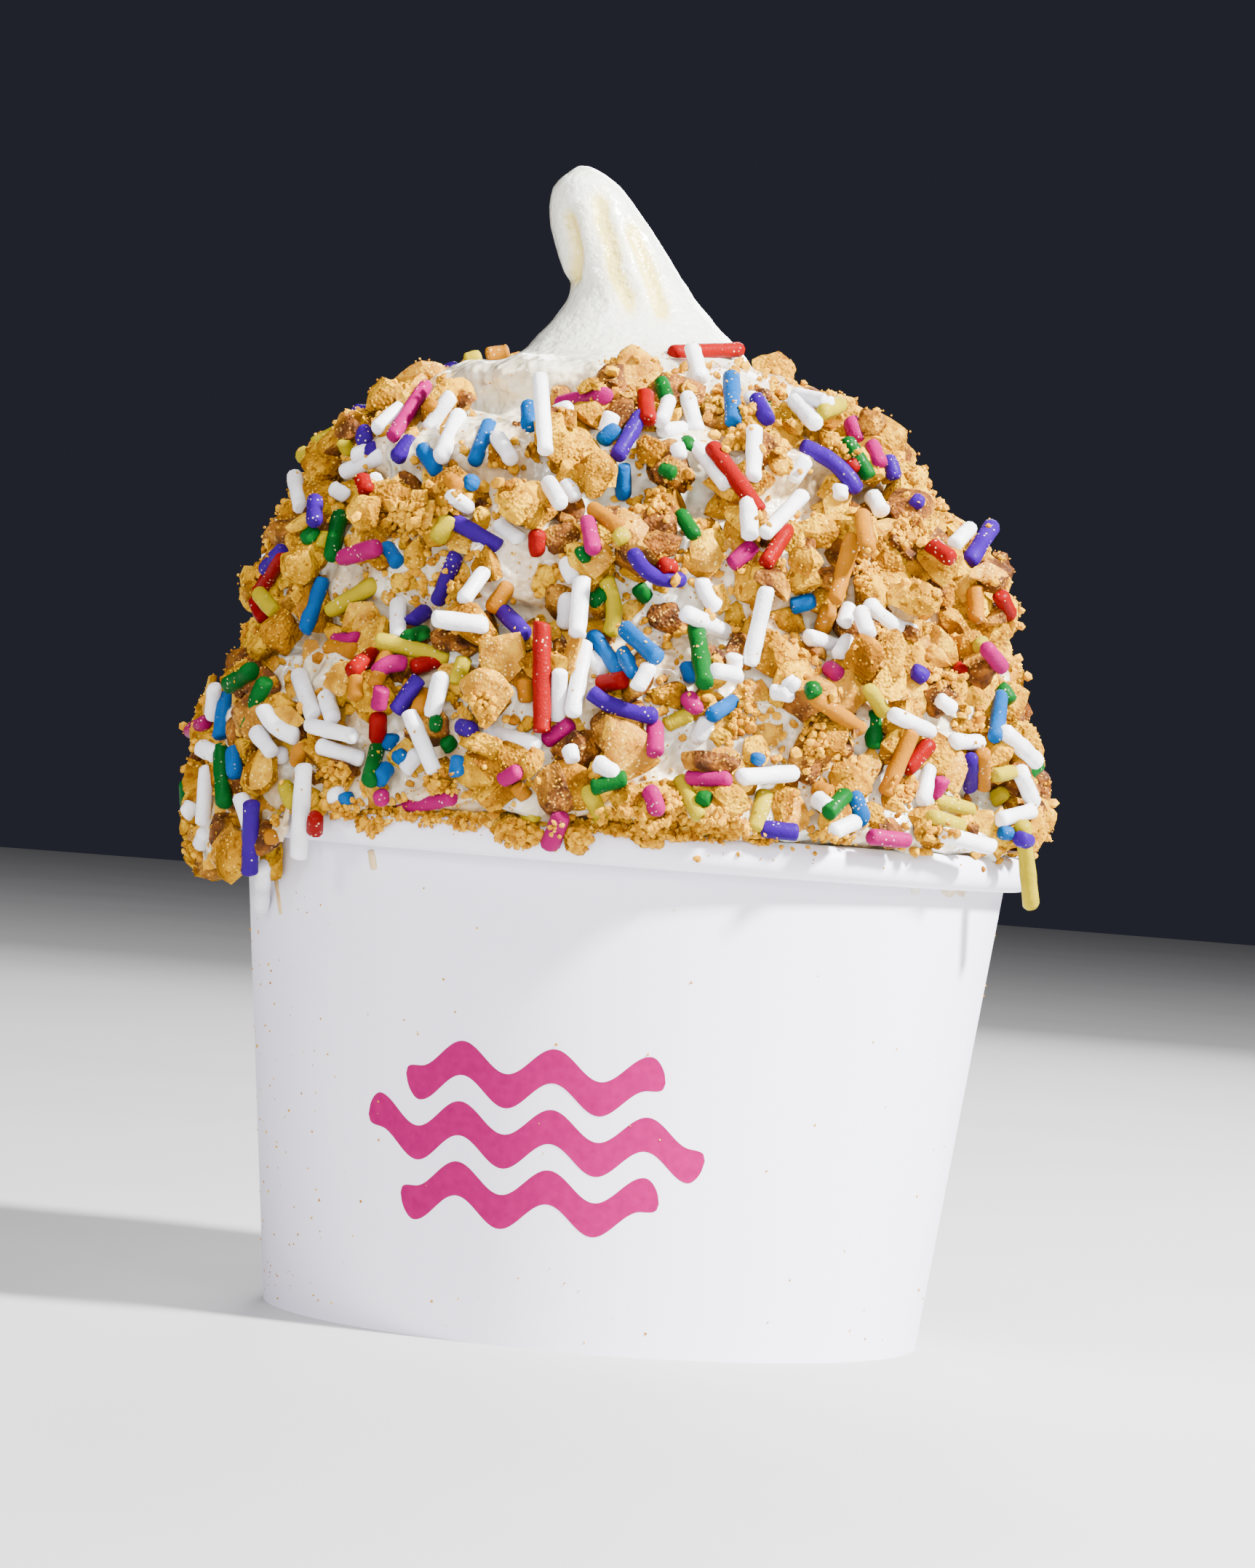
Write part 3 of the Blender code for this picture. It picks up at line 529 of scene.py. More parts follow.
def add_values(piece, name, values):
    """A number for each of the mesh's points, which its material reads by name."""
    layer = piece.data.attributes.new(name, "FLOAT", "POINT")
    layer.data.foreach_set("value", np.asarray(values, np.float32))


class Heap:
    """Many small meshes gathered into one, with a number kept for each point."""

    def __init__(self):
        self.points, self.faces, self.values, self.count = [], [], [], 0

    def add(self, points, faces, values=None):
        self.points.append(points)
        self.faces.append(faces + self.count)
        self.values.append(np.zeros(len(points)) if values is None else values)
        self.count += len(points)

    def mesh(self):
        return np.concatenate(self.points), np.concatenate(self.faces)

    def all_values(self):
        return np.concatenate(self.values)


EDGE_LIMIT = 2.1  # the edges of the ball's 20 sides are 2 long before it is scaled


def geodesic(steps):
    """A ball of radius 1 whose 20 sides are each split into steps x steps triangles."""
    golden = (1 + math.sqrt(5)) / 2
    corners = [(0, a, b * golden) for a in (-1, 1) for b in (-1, 1)]
    corners = [np.roll(corner, turn) for turn in range(3) for corner in corners]
    triples = itertools.combinations(range(12), 3)
    near = [t for t in triples if all(np.linalg.norm(corners[i] - corners[j]) < EDGE_LIMIT
                                      for i, j in itertools.combinations(t, 2))]
    points, faces, index = [], [], {}

    def point(place):
        key = tuple(np.round(place, 6))
        if key not in index:
            index[key] = len(points)
            points.append(place)
        return index[key]

    for i, j, k in near:
        a, b, c = corners[i], corners[j], corners[k]
        if np.dot(np.cross(b - a, c - a), a) < 0:
            b, c = c, b
        grid = {}
        for row in range(steps + 1):
            for place in range(row + 1):
                mixed = a * (steps - row) + b * (row - place) + c * place
                grid[row, place] = point(mixed / steps)
        for row in range(steps):
            for place in range(row + 1):
                faces.append((grid[row, place], grid[row + 1, place], grid[row + 1, place + 1]))
                if place < row:
                    faces.append((grid[row, place], grid[row + 1, place + 1], grid[row, place + 1]))
    points = np.array(points)
    return points / np.linalg.norm(points, axis=1, keepdims=True), np.array(faces)


# ---------------------------------------------------------------- the cream


def wall_radius(height):
    foot = FOOT_DIAMETER / 2
    top = WALL_UNDER_RIM_DIAMETER / 2
    return foot + (top - foot) * height / (CUP_HEIGHT - CURL_HEIGHT)


def wall_inside(height):
    return wall_radius(height) - PAPER


def oval_point(angle, offset):
    """A point on the rim's roll, as a radius and a height, moved out of it by offset."""
    radius = RIM_DIAMETER / 2 - CURL_WIDTH / 2
    height = CUP_HEIGHT - CURL_HEIGHT / 2
    across = CURL_WIDTH / 2 + offset
    up = CURL_HEIGHT / 2 + offset
    return radius + across * np.cos(angle), height + up * np.sin(angle)


def groove_height(turn):
    return GROOVE_FOOT + GROOVE_RISE * turn - GROOVE_SLOWING * turn * turn


def groove_turn(height):
    """The inverse of groove_height."""
    inside = GROOVE_RISE**2 - 4 * GROOVE_SLOWING * (height - GROOVE_FOOT)
    return (GROOVE_RISE - np.sqrt(np.maximum(0.0, inside))) / (2 * GROOVE_SLOWING)


def rope_reach(turn):
    """How far out the rope's side stands at that turn of the spiral."""
    share = np.clip((turn + 1) / SPIRAL_TURNS, 0.0, 1.0)
    return MOUND_RADIUS * (1 - share ** ROPE_POWERS[0]) ** ROPE_POWERS[1]


def groove_share(turn):
    return smoothstep(-0.5, 0.0, turn)


def coil_radius(azimuth, height):
    """Radius of the coils round their centre: a round side for each, with a groove between two."""
    share = ((azimuth - math.pi) / math.tau) % 1.0
    turn = np.floor(groove_turn(height) - share) + share
    low, high = groove_height(turn), groove_height(turn + 1)
    low = low + (COIL_FOOT - low) * (1 - groove_share(turn))
    across = np.clip((2 * height - low - high) / (high - low), -1.0, 1.0)
    reach = rope_reach(turn)
    drop_below = GROOVE_DEPTH * groove_share(turn)
    drop_above = reach - rope_reach(turn + 1) + GROOVE_DEPTH * groove_share(turn + 1)
    drop = np.where(across < 0, drop_below, drop_above)
    bulge = (1 - np.abs(across) ** COIL_SQUARENESS) ** (1 / COIL_SQUARENESS)
    return reach - drop * (1 - bulge)


def stem_radius(height):
    flare = STEM_FOOT_RADIUS - STEM_RADIUS
    level = np.minimum(height, HEAD_FOOT)
    radius = STEM_RADIUS + flare * np.exp((STEM_FOOT - level) / STEM_FLARE)
    share = np.clip((height - HEAD_FOOT) / (PEAK_TOP - HEAD_FOOT), 0.0, 1.0)
    return radius * np.sqrt(1 - share * share)


def centre_x(height):
    """The line that the rings are centred on: it leans, then follows the peak."""
    coils = LEAN_LOW + (LEAN_HIGH - LEAN_LOW) * smoothstep(LEAN_FROM, LEAN_TO, height)
    stem = STEM_START_X + STEM_BEND * np.maximum(0.0, height - STEM_BEND_FROM) ** 2
    return coils + (stem - coils) * smoothstep(*STEM_LEAN_FADE, height)


def unevenness(azimuth, height):
    swell = np.sin(3 * azimuth + 90 * height) + 0.7 * np.sin(5 * azimuth - 160 * height + 1.3)
    return SWELL * swell * (1 - smoothstep(*SWELL_FADE, height))


def mound_points(azimuth, height):
    """Points of the skin above the rim, for arrays of azimuths and heights."""
    height = height + 0 * azimuth
    radius = coil_radius(azimuth, height) + unevenness(azimuth, height)
    share = np.clip((height - CROWN_FROM) / (STEM_FOOT - CROWN_FROM), 0.0, 1.0)
    stem = stem_radius(np.maximum(height, STEM_FOOT))
    crown = stem + np.maximum(0.0, radius - stem) * np.sqrt(1 - share**2)
    radius = np.where(height > CROWN_FROM, crown, radius)
    x = centre_x(height) + radius * np.cos(azimuth)
    y = radius * np.sin(azimuth)
    left = np.interp(height, *LEFT_OUTLINE)
    right = np.interp(height, *RIGHT_OUTLINE)
    seen = (left + right) / 2 + (right - left) / 2 * np.cos(azimuth)
    x = x + (seen - x) * smoothstep(*STEM_OUTLINE_FADE, height)
    return np.stack([x, y, height], axis=-1)


def polar(azimuth, radius, height):
    height = height + 0 * azimuth
    return np.stack([radius * np.cos(azimuth), radius * np.sin(azimuth), height], axis=-1)


def droop_share(azimuth):
    away = np.abs((azimuth - DROOP_AZIMUTH + math.pi) % math.tau - math.pi)
    return 1 - smoothstep(DROOP_HALF_WIDTH - DROOP_EDGE, DROOP_HALF_WIDTH + DROOP_EDGE, away)


def lip_rows(azimuth):
    """The skin's way over the rim, and the height where the coils take over."""
    share = droop_share(azimuth)
    wrap, hang = smoothstep(0.0, WRAPS_BY, share), smoothstep(HANGS_FROM, 1.0, share)
    off = GAP + LIP_OFF + LIP_THICKER * wrap
    last = LIP_ANGLE + (DROOP_ANGLE - LIP_ANGLE) * wrap
    lip = []
    for k in range(LIP_ROWS):
        angle = math.pi + (last - math.pi) * k / (LIP_ROWS - 1)
        lip.append(polar(azimuth, *oval_point(angle, off)))
    radius, height = oval_point(last, off)
    radius = radius + LIP_BULGE * (1 - wrap)
    height = height - DROOP_DEPTH * hang
    lip.append(polar(azimuth, radius, height))
    lip.append(polar(azimuth, radius + LIP_STEP, height + LIP_BULGE - LIP_STEP * hang))
    return lip, height + LIP_RISE


def skin_rows(azimuth, coil_step, stem_step):
    """The skin from inside the rim up to just under the tip, as rows of points, one per azimuth.

    Also gives the number of the first row that faces outwards."""
    inner = polar(azimuth, wall_inside(TOP_FLOOR) - GAP, TOP_FLOOR)
    lip, start = lip_rows(azimuth)
    rows = [inner] + lip
    first_outer = len(rows) - 1
    for height in np.arange(MOUND_LOW, MOUND_HIGH, coil_step):
        if height < LIP_BLEND:
            height = start + (height - MOUND_LOW) * (LIP_BLEND - start) / (LIP_BLEND - MOUND_LOW)
        rows.append(mound_points(azimuth, height))
    for height in np.arange(MOUND_HIGH, HEAD_FOOT, stem_step):
        rows.append(mound_points(azimuth, height))
    for share in HEAD_ROWS:
        rows.append(mound_points(azimuth, HEAD_FOOT + share * (PEAK_TOP - HEAD_FOOT)))
    return rows, first_outer


def grid_faces(rows, columns, first=0):
    """Quads between rows of points that close round, row by row."""
    row = np.arange(first, rows - 1)[:, None] * columns
    column = np.arange(columns)[None, :]
    after = (column + 1) % columns
    corners = [row + column, row + after, row + columns + after, row + columns + column]
    return np.stack(corners, axis=-1).reshape(-1, 4)


def ring_caps(rows, columns):
    """Triangle fans from two more points, the first below the grid and the second above it."""
    column = np.arange(columns)
    after = (column + 1) % columns
    low, high = rows * columns, rows * columns + 1
    top = (rows - 1) * columns
    below = np.stack([after, column, np.full(columns, low)], axis=-1)
    above = np.stack([top + column, top + after, np.full(columns, high)], axis=-1)
    return np.concatenate([below, above])


def fold_points():
    """The end of the rope, folded over the peak's head and hanging down behind its left side."""
    ball, faces = geodesic(FOLD_STEPS)
    taper = 1 - FOLD_TAPER * smoothstep(0.2, -1.0, ball[:, 2])
    points = ball * FOLD_HALF
    points[:, :2] *= taper[:, None]
    x = points[:, 0] * math.cos(FOLD_TILT) + points[:, 2] * math.sin(FOLD_TILT)
    z = points[:, 2] * math.cos(FOLD_TILT) - points[:, 0] * math.sin(FOLD_TILT)
    return np.stack([x, points[:, 1], z], axis=-1) + FOLD_PLACE, faces


def remeshed(points, faces):
    """The union of closed shells as one even mesh of small quads, smoothed."""
    shell = new_object("shell", points, faces)
    remesh = shell.modifiers.new("remesh", "REMESH")
    remesh.mode = "VOXEL"
    remesh.voxel_size = VOXEL
    smooth = shell.modifiers.new("smooth", "SMOOTH")
    smooth.factor = 0.5
    smooth.iterations = 5
    bpy.context.view_layer.update()
    graph = bpy.context.evaluated_depsgraph_get()
    made = bpy.data.meshes.new_from_object(shell.evaluated_get(graph))
    bpy.data.objects.remove(shell)
    count = len(made.vertices)
    place, normal = np.empty(count * 3), np.empty(count * 3)
    made.vertices.foreach_get("co", place)
    made.vertices.foreach_get("normal", normal)
    quads = np.array([tuple(polygon.vertices) for polygon in made.polygons])
    bpy.data.meshes.remove(made)
    return place.reshape(-1, 3), normal.reshape(-1, 3), quads


def hollow(route, width, places):
    """How deep in a hollow each (x, height) is, from 0 to 1. It follows a route of pixels and
    fades out at both ends."""
    corners = [np.array(from_photo(pixel)) for pixel in route]
    nearest, reached = np.full(len(places), 1.0), np.zeros(len(places))
    for k, (start, end) in enumerate(zip(corners, corners[1:])):
        along = end - start
        share = np.clip((places - start) @ along / (along @ along), 0.0, 1.0)
        gap = np.linalg.norm(places - start - share[:, None] * along, axis=1)
        closer = gap < nearest
        nearest = np.where(closer, gap, nearest)
        reached = np.where(closer, (k + share) / (len(corners) - 1), reached)
    fade = smoothstep(0, 0.2, reached) * smoothstep(1, 0.8, reached)
    return np.exp(-((nearest / width) ** 2)) * fade


def plug():
    """The plain cream inside the cup, as a turned shell: points, side faces and end faces."""
    low = DISC_HEIGHT + PAPER + GAP
    azimuth = np.linspace(0, math.tau, PLUG_COLUMNS, endpoint=False)
    heights = (low, TOP_FLOOR + PLUG_LAP)
    rows = [polar(azimuth, (wall_inside(z) - GAP) * PLUG_FIT, z) for z in heights]
    points = np.concatenate(rows + [[(0, 0, heights[0]), (0, 0, heights[1])]])
    return points, grid_faces(2, PLUG_COLUMNS), ring_caps(2, PLUG_COLUMNS)


def make_cream(paint):
    """The soft serve. It gives the piece and its upper shell's arrays."""
    azimuth = np.linspace(0, math.tau, SKIN_COLUMNS, endpoint=False)
    rows, _ = skin_rows(azimuth, COIL_STEP, STEM_STEP)
    tip = (centre_x(PEAK_TOP), 0, PEAK_TOP)
    points = np.concatenate(rows + [[(0, 0, TOP_FLOOR), tip]])
    faces = grid_faces(len(rows), SKIN_COLUMNS).tolist()
    faces += ring_caps(len(rows), SKIN_COLUMNS).tolist()
    fold, fold_faces = fold_points()
    faces += (fold_faces + len(points)).tolist()
    place, normal, quads = remeshed(np.concatenate([points, fold]), faces)

    height = place[:, 2]
    peak = smoothstep(*PEAK_FROM, height)
    lumps = sum(depth * bumps(place + shift, size) for depth, size, shift in LUMPS)
    ripples = sum(depth * bumps(place * stretch, size) for depth, size, stretch in RIPPLES)
    covered = smoothstep(*COVERED_FROM, height) * smoothstep(*COVERED_TO[::-1], height)
    lift = lumps * (1 - peak) + ripples * peak - INSET * covered
    seen = place[:, [0, 2]]
    front = smoothstep(0.2, -0.2, normal[:, 1])
    streak_and_shade = front * np.maximum(*(hollow(route, STREAK_WIDTH, seen) for route in STREAKS))
    crease = front * hollow(CREASE, CREASE_WIDTH, seen)
    place = place + normal * (lift - STREAK_DEPTH * streak_and_shade - CREASE_DEPTH * crease)[:, None]
    # The crease joins the hollows in one mask, which the cream's material darkens and yellows as
    # painted shade.
    streak_and_shade = np.maximum(streak_and_shade, crease)

    inner, sides, caps = plug()
    faces = quads.tolist() + (sides + len(place)).tolist() + (caps + len(place)).tolist()
    piece = add_piece("soft_serve", np.concatenate([place, inner]), faces, paint)
    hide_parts("ice_cream")
    add_values(piece, "streak_and_shade", np.concatenate([streak_and_shade, np.zeros(len(inner))]))
    return piece, place, quads


def raise_cream(piece, place, quads, stuck):
    """The cream stands a little higher round what is stuck in it. It gives the new places."""
    normal = np.empty(len(piece.data.vertices) * 3)
    piece.data.vertices.foreach_get("normal", normal)
    normal = normal.reshape(-1, 3)[: len(place)]
    lift = np.zeros(len(place))
    for k in np.flatnonzero((place[:, 2] > TOP_FLOOR) & (place[:, 2] < STEM_FOOT)):
        distance = stuck.find_nearest(place[k], CLIMB_REACH)[3]
        if distance is not None:
            lift[k] = smoothstep(CLIMB_REACH, 0.0, distance)
    for _ in range(CLIMB_PASSES):
        total, count = np.zeros(len(place)), np.zeros(len(place))
        for first, second in ((0, 1), (1, 2), (2, 3), (3, 0)):
            np.add.at(total, quads[:, first], lift[quads[:, second]])
            np.add.at(count, quads[:, first], 1)
        lift = 0.5 * lift + 0.5 * total / np.maximum(1, count)
    place = place + normal * (CLIMB * lift)[:, None]
    points = np.empty(len(piece.data.vertices) * 3)
    piece.data.vertices.foreach_get("co", points)
    points[: place.size] = place.reshape(-1)
    piece.data.vertices.foreach_set("co", points)
    piece.data.update()
    return place


# -------------------------------------------------------- laying the pieces


class Ground:
    """What is already in place, for finding where the next piece comes to rest."""

    def __init__(self):
        self.trees, self.pieces = [], Heap()

    def add(self, points, faces, kind):
        tree = BVHTree.FromPolygons(np.asarray(points).tolist(), np.asarray(faces).tolist())
        self.trees.append((tree, kind))
        if kind in ("rod", "chunk"):
            self.pieces.add(points, faces)

    def stuck(self):
        """All the pieces laid so far, for measuring how near they are."""
        points, faces = self.pieces.mesh()
        return BVHTree.FromPolygons(points.tolist(), faces.tolist())

    def look(self, start, way, farthest):
        """The distance to the first thing that way, and its kind."""
        nearest, kind = None, None
        for tree, name in self.trees:
            distance = tree.ray_cast(start, way, farthest)[3]
            if distance is not None and (nearest is None or distance < nearest):
                nearest, kind = distance, name
        return nearest, kind

    def drop(self, point, normal):
        """How high over that point of the skin the first thing lies, and its kind."""
        distance, kind = self.look(point + normal * DROP_FROM, -normal, DROP_REACH)
        return None if distance is None else DROP_FROM - distance, kind

    def sight(self, x, height):
        """The camera's line of sight to a place in the upright plane through the axis, the distance
        to what is seen there, and its kind."""
        way = (Vector((x, 0.0, height)) - CAMERA).normalized()
        return way, *self.look(CAMERA, way, SIGHT_REACH)


class Skin:
    """The outer skin of the cream, for drawing spots spread evenly over it."""

    def __init__(self, columns=150, step=0.0011):
        azimuth = np.linspace(0, math.tau, columns, endpoint=False)
        rows, first = skin_rows(azimuth, step, step)
        self.points = np.concatenate(rows)
        quads = grid_faces(len(rows), columns, first)
        self.faces = np.concatenate([quads[:, [0, 1, 2]], quads[:, [0, 2, 3]]])
        a, b, c = (self.points[self.faces[:, k]] for k in range(3))
        cross = np.cross(b - a, c - a)
        normals = np.zeros_like(self.points)
        for k in range(3):
            np.add.at(normals, self.faces[:, k], cross)
        self.normals = normals / np.maximum(1e-12, np.linalg.norm(normals, axis=1, keepdims=True))
        area = np.linalg.norm(cross, axis=1)
        middle = (a + b + c)[:, 2] / 3
        area = np.where(middle < STEM_OUTLINE_FADE[0], area, 0.0)
        self.totals = np.cumsum(area) / area.sum()

    def draw(self, rng, count):
        """Points and outward normals."""
        face = self.faces[np.searchsorted(self.totals, rng.random(count))]
        first, second = rng.random((2, count))
        flip = first + second > 1
        first, second = np.where(flip, 1 - first, first), np.where(flip, 1 - second, second)
        weights = np.stack([1 - first - second, first, second], axis=-1)[:, :, None]
        point = (self.points[face] * weights).sum(axis=1)
        normal = (self.normals[face] * weights).sum(axis=1)
        return point, normal / np.linalg.norm(normal, axis=1, keepdims=True)


class Seen:
    """The places that are kept for what the photograph shows there."""

    def __init__(self):
        self.chunks = np.array([from_photo(chunk[:2]) for chunk in SEEN_CHUNKS])
        sizes = np.array([chunk[2:4] for chunk in SEEN_CHUNKS])
        self.chunk_radii = sizes.sum(axis=1) / (4 * MM_PER_M)
        self.bare = np.array([from_photo(pixel) for pixel, _ in BARE_SPOTS])
        self.bare_radii = np.array([radius for _, radius in BARE_SPOTS])
        behind = itertools.chain(*BEHIND_RODS.values())
        self.behind = np.array([place for rod in behind for place in rod_places(rod)])
        self.depths = None

    def is_bare(self, point, normal, margin=0.0):
        """Whether the point is where the photograph shows plain cream."""
        away = abs((math.atan2(point[1], point[0]) - BARE_AZIMUTH + math.pi) % math.tau - math.pi)
        if point[2] > BARE_FROM and away < BARE_HALF_WIDTH:
            return True
        gaps = np.linalg.norm(self.place(point) - self.bare, axis=1) - self.bare_radii
        return normal[1] < FACING and gaps.min() < margin

    def place(self, point):
        """Where the camera sees the point, in the upright plane through the axis."""
        closer = CAMERA_DISTANCE / (CAMERA_DISTANCE + point[1])
        x = CAMERA_X + (point[0] - CAMERA_X) * closer
        return np.array((x, CAMERA_Z + (point[2] - CAMERA_Z) * closer))

    def from_chunks(self, point, normal):
        """How far the point is, as the camera sees it, from the chunks of the photograph."""
        if normal[1] > FACING:
            return 1.0
        return (np.linalg.norm(self.place(point) - self.chunks, axis=1) - self.chunk_radii).min()

    def keep_rods(self, rods):
        """Notes where the sprinkles of the photograph lie, in space and as the camera sees them."""
        self.flat_starts = np.array([self.place(start) for start, _ in rods])
        self.flat_ends = np.array([self.place(end) for _, end in rods])
        self.depths = np.array([(start[1] + end[1]) / 2 for start, end in rods])

    def hides_rod(self, point, reach):
        """Whether a piece there, of that reach, would stand before a sprinkle of the photograph."""
        if self.depths is None:
            return False
        gaps = gaps_to_lines(self.place(point), self.flat_starts, self.flat_ends) - ROD_RADIUS
        return bool(((gaps < reach) & (point[1] - reach < self.depths)).any())

    def on_ridge(self, point, reach):
        """Whether a piece there would hide the sprinkles behind the ridge."""
        gaps = np.linalg.norm(self.place(point) - self.behind, axis=1)
        return gaps.min() < reach + RIDGE_MARGIN

    def inside(self, point, over):
        """Whether the point is inside the heap's outline, or no farther out than that."""
        x, height = self.place(point)
        heights, left, right = np.array(HEAP_OUTLINE).T
        if height > HEAP_TOP:
            return False
        left, right = np.interp(height, heights, left), np.interp(height, heights, right)
        return left - over < x < right + over


def gaps_to_lines(point, starts, ends):
    """The distance from a point to each straight line."""
    ways = ends - starts
    share = np.clip(((point - starts) * ways).sum(axis=1) / (ways**2).sum(axis=1), 0.0, 1.0)
    return np.linalg.norm(point - starts - share[:, None] * ways, axis=1)


def reach_of(point):
    return math.hypot(point[0] - REACH_MIDDLE[0], point[1] - REACH_MIDDLE[1])


def spread(count, skin, rng, allowed, candidates=10):
    """Spots on the skin, each the one of several drawn at random that is farthest from the rest."""
    spots, taken = [], []
    for _ in range(count * TRIES):
        if len(spots) == count:
            break
        points, normals = skin.draw(rng, candidates)
        fit = [k for k in range(candidates) if allowed(points[k], normals[k])]
        if not fit:
            continue
        if taken:
            others = np.array(taken)
            gaps = [np.linalg.norm(others - points[k], axis=1).min() for k in fit]
            best = fit[int(np.argmax(gaps))]
        else:
            best = fit[0]
        spots.append((points[best], normals[best]))
        taken.append(points[best])
    return spots


def rest_line(ground, middle, along, up, half, radius, steepest, miss=-0.004):
    """Where a straight rod comes to rest when it is moved down against up: its height over the
    middle and its slope, found as the lowest line that stays above what is under it."""
    places = np.linspace(-half, half, REST_SPOTS)
    heights = []
    for place in places:
        distance, _ = ground.look(middle + along * place + up * DROP_FROM, -up, LINE_REACH)
        heights.append(miss if distance is None else DROP_FROM - distance + radius)
    centre = REST_SPOTS // 2
    height, slope = heights[centre], 0.0
    for i, j in itertools.product(range(centre), range(centre + 1, REST_SPOTS)):
        gap = places[j] - places[i]
        level = (heights[i] * places[j] - heights[j] * places[i]) / gap
        if level > height:
            height, slope = level, (heights[j] - heights[i]) / gap
    if slope == 0.0 and height == heights[centre]:
        slope = (heights[-1] - heights[0]) / (2 * half)
    slope = max(-steepest, min(steepest, slope))
    height = max(level - slope * place for level, place in zip(heights, places))
    return height, slope


def turned_about(vector, axis, angle):
    along = axis * axis.dot(vector) * (1 - math.cos(angle))
    return vector * math.cos(angle) + axis.cross(vector) * math.sin(angle) + along


# ---------------------------------------------------------------- sprinkles

CAP_RINGS = (0.0, 0.45, 0.75, 0.93)


def rod_places(rod):
    """The (x, height) of each pixel of a sprinkle of the photograph."""
    return [from_photo(pixel) for pixel in zip(rod[::2], rod[1::2])]


def rod_faces(rings):
    quads = grid_faces(rings, ROD_SIDES)
    triangles = np.concatenate([quads[:, [0, 1, 2]], quads[:, [0, 2, 3]]])
    return np.concatenate([triangles, ring_caps(rings, ROD_SIDES)])


def rod_mesh(start, end, bend, rng, radius=ROD_RADIUS):
    """A sugar rod with rounded ends, a little uneven. bend moves its middle sideways."""
    start, end, bend = (np.array(value) for value in (start, end, bend))
    middle = (start + end) / 2
    half = np.linalg.norm(end - start) / 2
    lying = (end - start) / (2 * half)
    blunt = min(half * ROD_END_LIMIT, radius * rng.uniform(*ROD_ENDS))
    power = rng.uniform(*ROD_POWERS)
    radius = radius * rng.uniform(*ROD_WIDTHS)
    body = max(2, int((half - blunt) / RING_GAP))
    cap = min(half * ROD_END_LIMIT, blunt + radius * ROD_END_MORE)
    caps = [(half - cap * (1 - q), (1 - q**power) ** (1 / power)) for q in CAP_RINGS]
    stations = [(-s, r) for s, r in reversed(caps)]
    stations += [(s, 1.0) for s in np.linspace(-half + cap, half - cap, body + 2)[1:-1]]
    stations += caps
    along = np.array([s for s, _ in stations])
    wide = np.array([r for _, r in stations]) * radius
    wide = wide * (1 + ROD_UNEVEN * rng.standard_normal(len(wide)))
    side = np.cross(lying, (0.31, 0.42, 0.85))
    side /= np.linalg.norm(side)
    angle = np.linspace(0, math.tau, ROD_SIDES, endpoint=False)
    centre = middle + lying * along[:, None] + bend * (1 - (along[:, None] / half) ** 2)
    tangent = lying - bend * (2 * along[:, None] / half**2)
    tangent /= np.linalg.norm(tangent, axis=1, keepdims=True)
    side = side - tangent * (tangent @ side)[:, None]
    side /= np.linalg.norm(side, axis=1, keepdims=True)
    other = np.cross(tangent, side)
    ring = side[:, None] * np.cos(angle)[:, None] + other[:, None] * np.sin(angle)[:, None]
    oval = 1 + rng.uniform(-ROD_OVAL, ROD_OVAL) * np.cos(2 * angle)
    rough = 1 + ROD_ROUGH * rng.standard_normal((len(wide), ROD_SIDES))
    across = ring * (wide[:, None] * oval * rough)[:, :, None]
    slants = rng.normal(0, ROD_SLANT, (2, 3))
    ends = smoothstep(half * ROD_SLANT_FROM, half, np.abs(along))
    slant = np.where(along[:, None] < 0, slants[0], slants[1]) * ends[:, None]
    points = centre[:, None, :] + across + lying * (across @ slant[:, :, None])
    tips = np.stack([middle - lying * half, middle + lying * half])
    return np.concatenate([points.reshape(-1, 3), tips]), rod_faces(len(stations))


def lay_seen_rods(ground, rods_seen, side, heaps, rng):
    """The sprinkles of the photograph, each moved in the line of sight until it lies on something:
    from the camera's side (side is 1) or from behind (side is -1)."""
    laid, lines = Heap(), []
    for colour, rods in rods_seen.items():
        for rod in rods:
            ends = [Vector((x, 0.0, z)) for x, z in rod_places(rod)]
            start, end = ends[:2]
            middle = (start + end) / 2
            up = (CAMERA - middle).normalized() * side
            half = max((end - start).length / 2, SHORTEST_HALF)
            along = (end - start).normalized()
            steepest = math.sqrt(max(LEAST_SLOPE_SQUARED, (LONGEST_ROD / (2 * half)) ** 2 - 1))
            height, slope = rest_line(
                ground, middle + up * SIGHT_LIFT, along, up, half, ROD_RADIUS * SEEN_ROD_RISE,
                min(STEEP_SEEN, steepest), miss=-SIGHT_LIFT,
            )
            centre = middle + up * (SIGHT_LIFT + height)
            closer = 1 - side * (SIGHT_LIFT + height) / CAMERA_DISTANCE
            half *= closer
            centre = CAMERA + (middle - CAMERA).normalized() * ((centre - CAMERA).length)
            a = centre - along * half - up * slope * half
            b = centre + along * half + up * slope * half
            bend = (ends[2] - middle) * closer if len(ends) > 2 else Vector((0, 0, 0))
            for spot in (a, b):
                out = reach_of(spot)
                if out > ROD_REACH:
                    spot.xy = spot.xy * ROD_REACH / out
            points, faces = rod_mesh(a, b, bend, rng)
            heaps[colour].add(points, faces)
            laid.add(points, faces)
            lines.append((np.array(a), np.array(b)))
    ground.add(*laid.mesh(), "rod")
    return lines


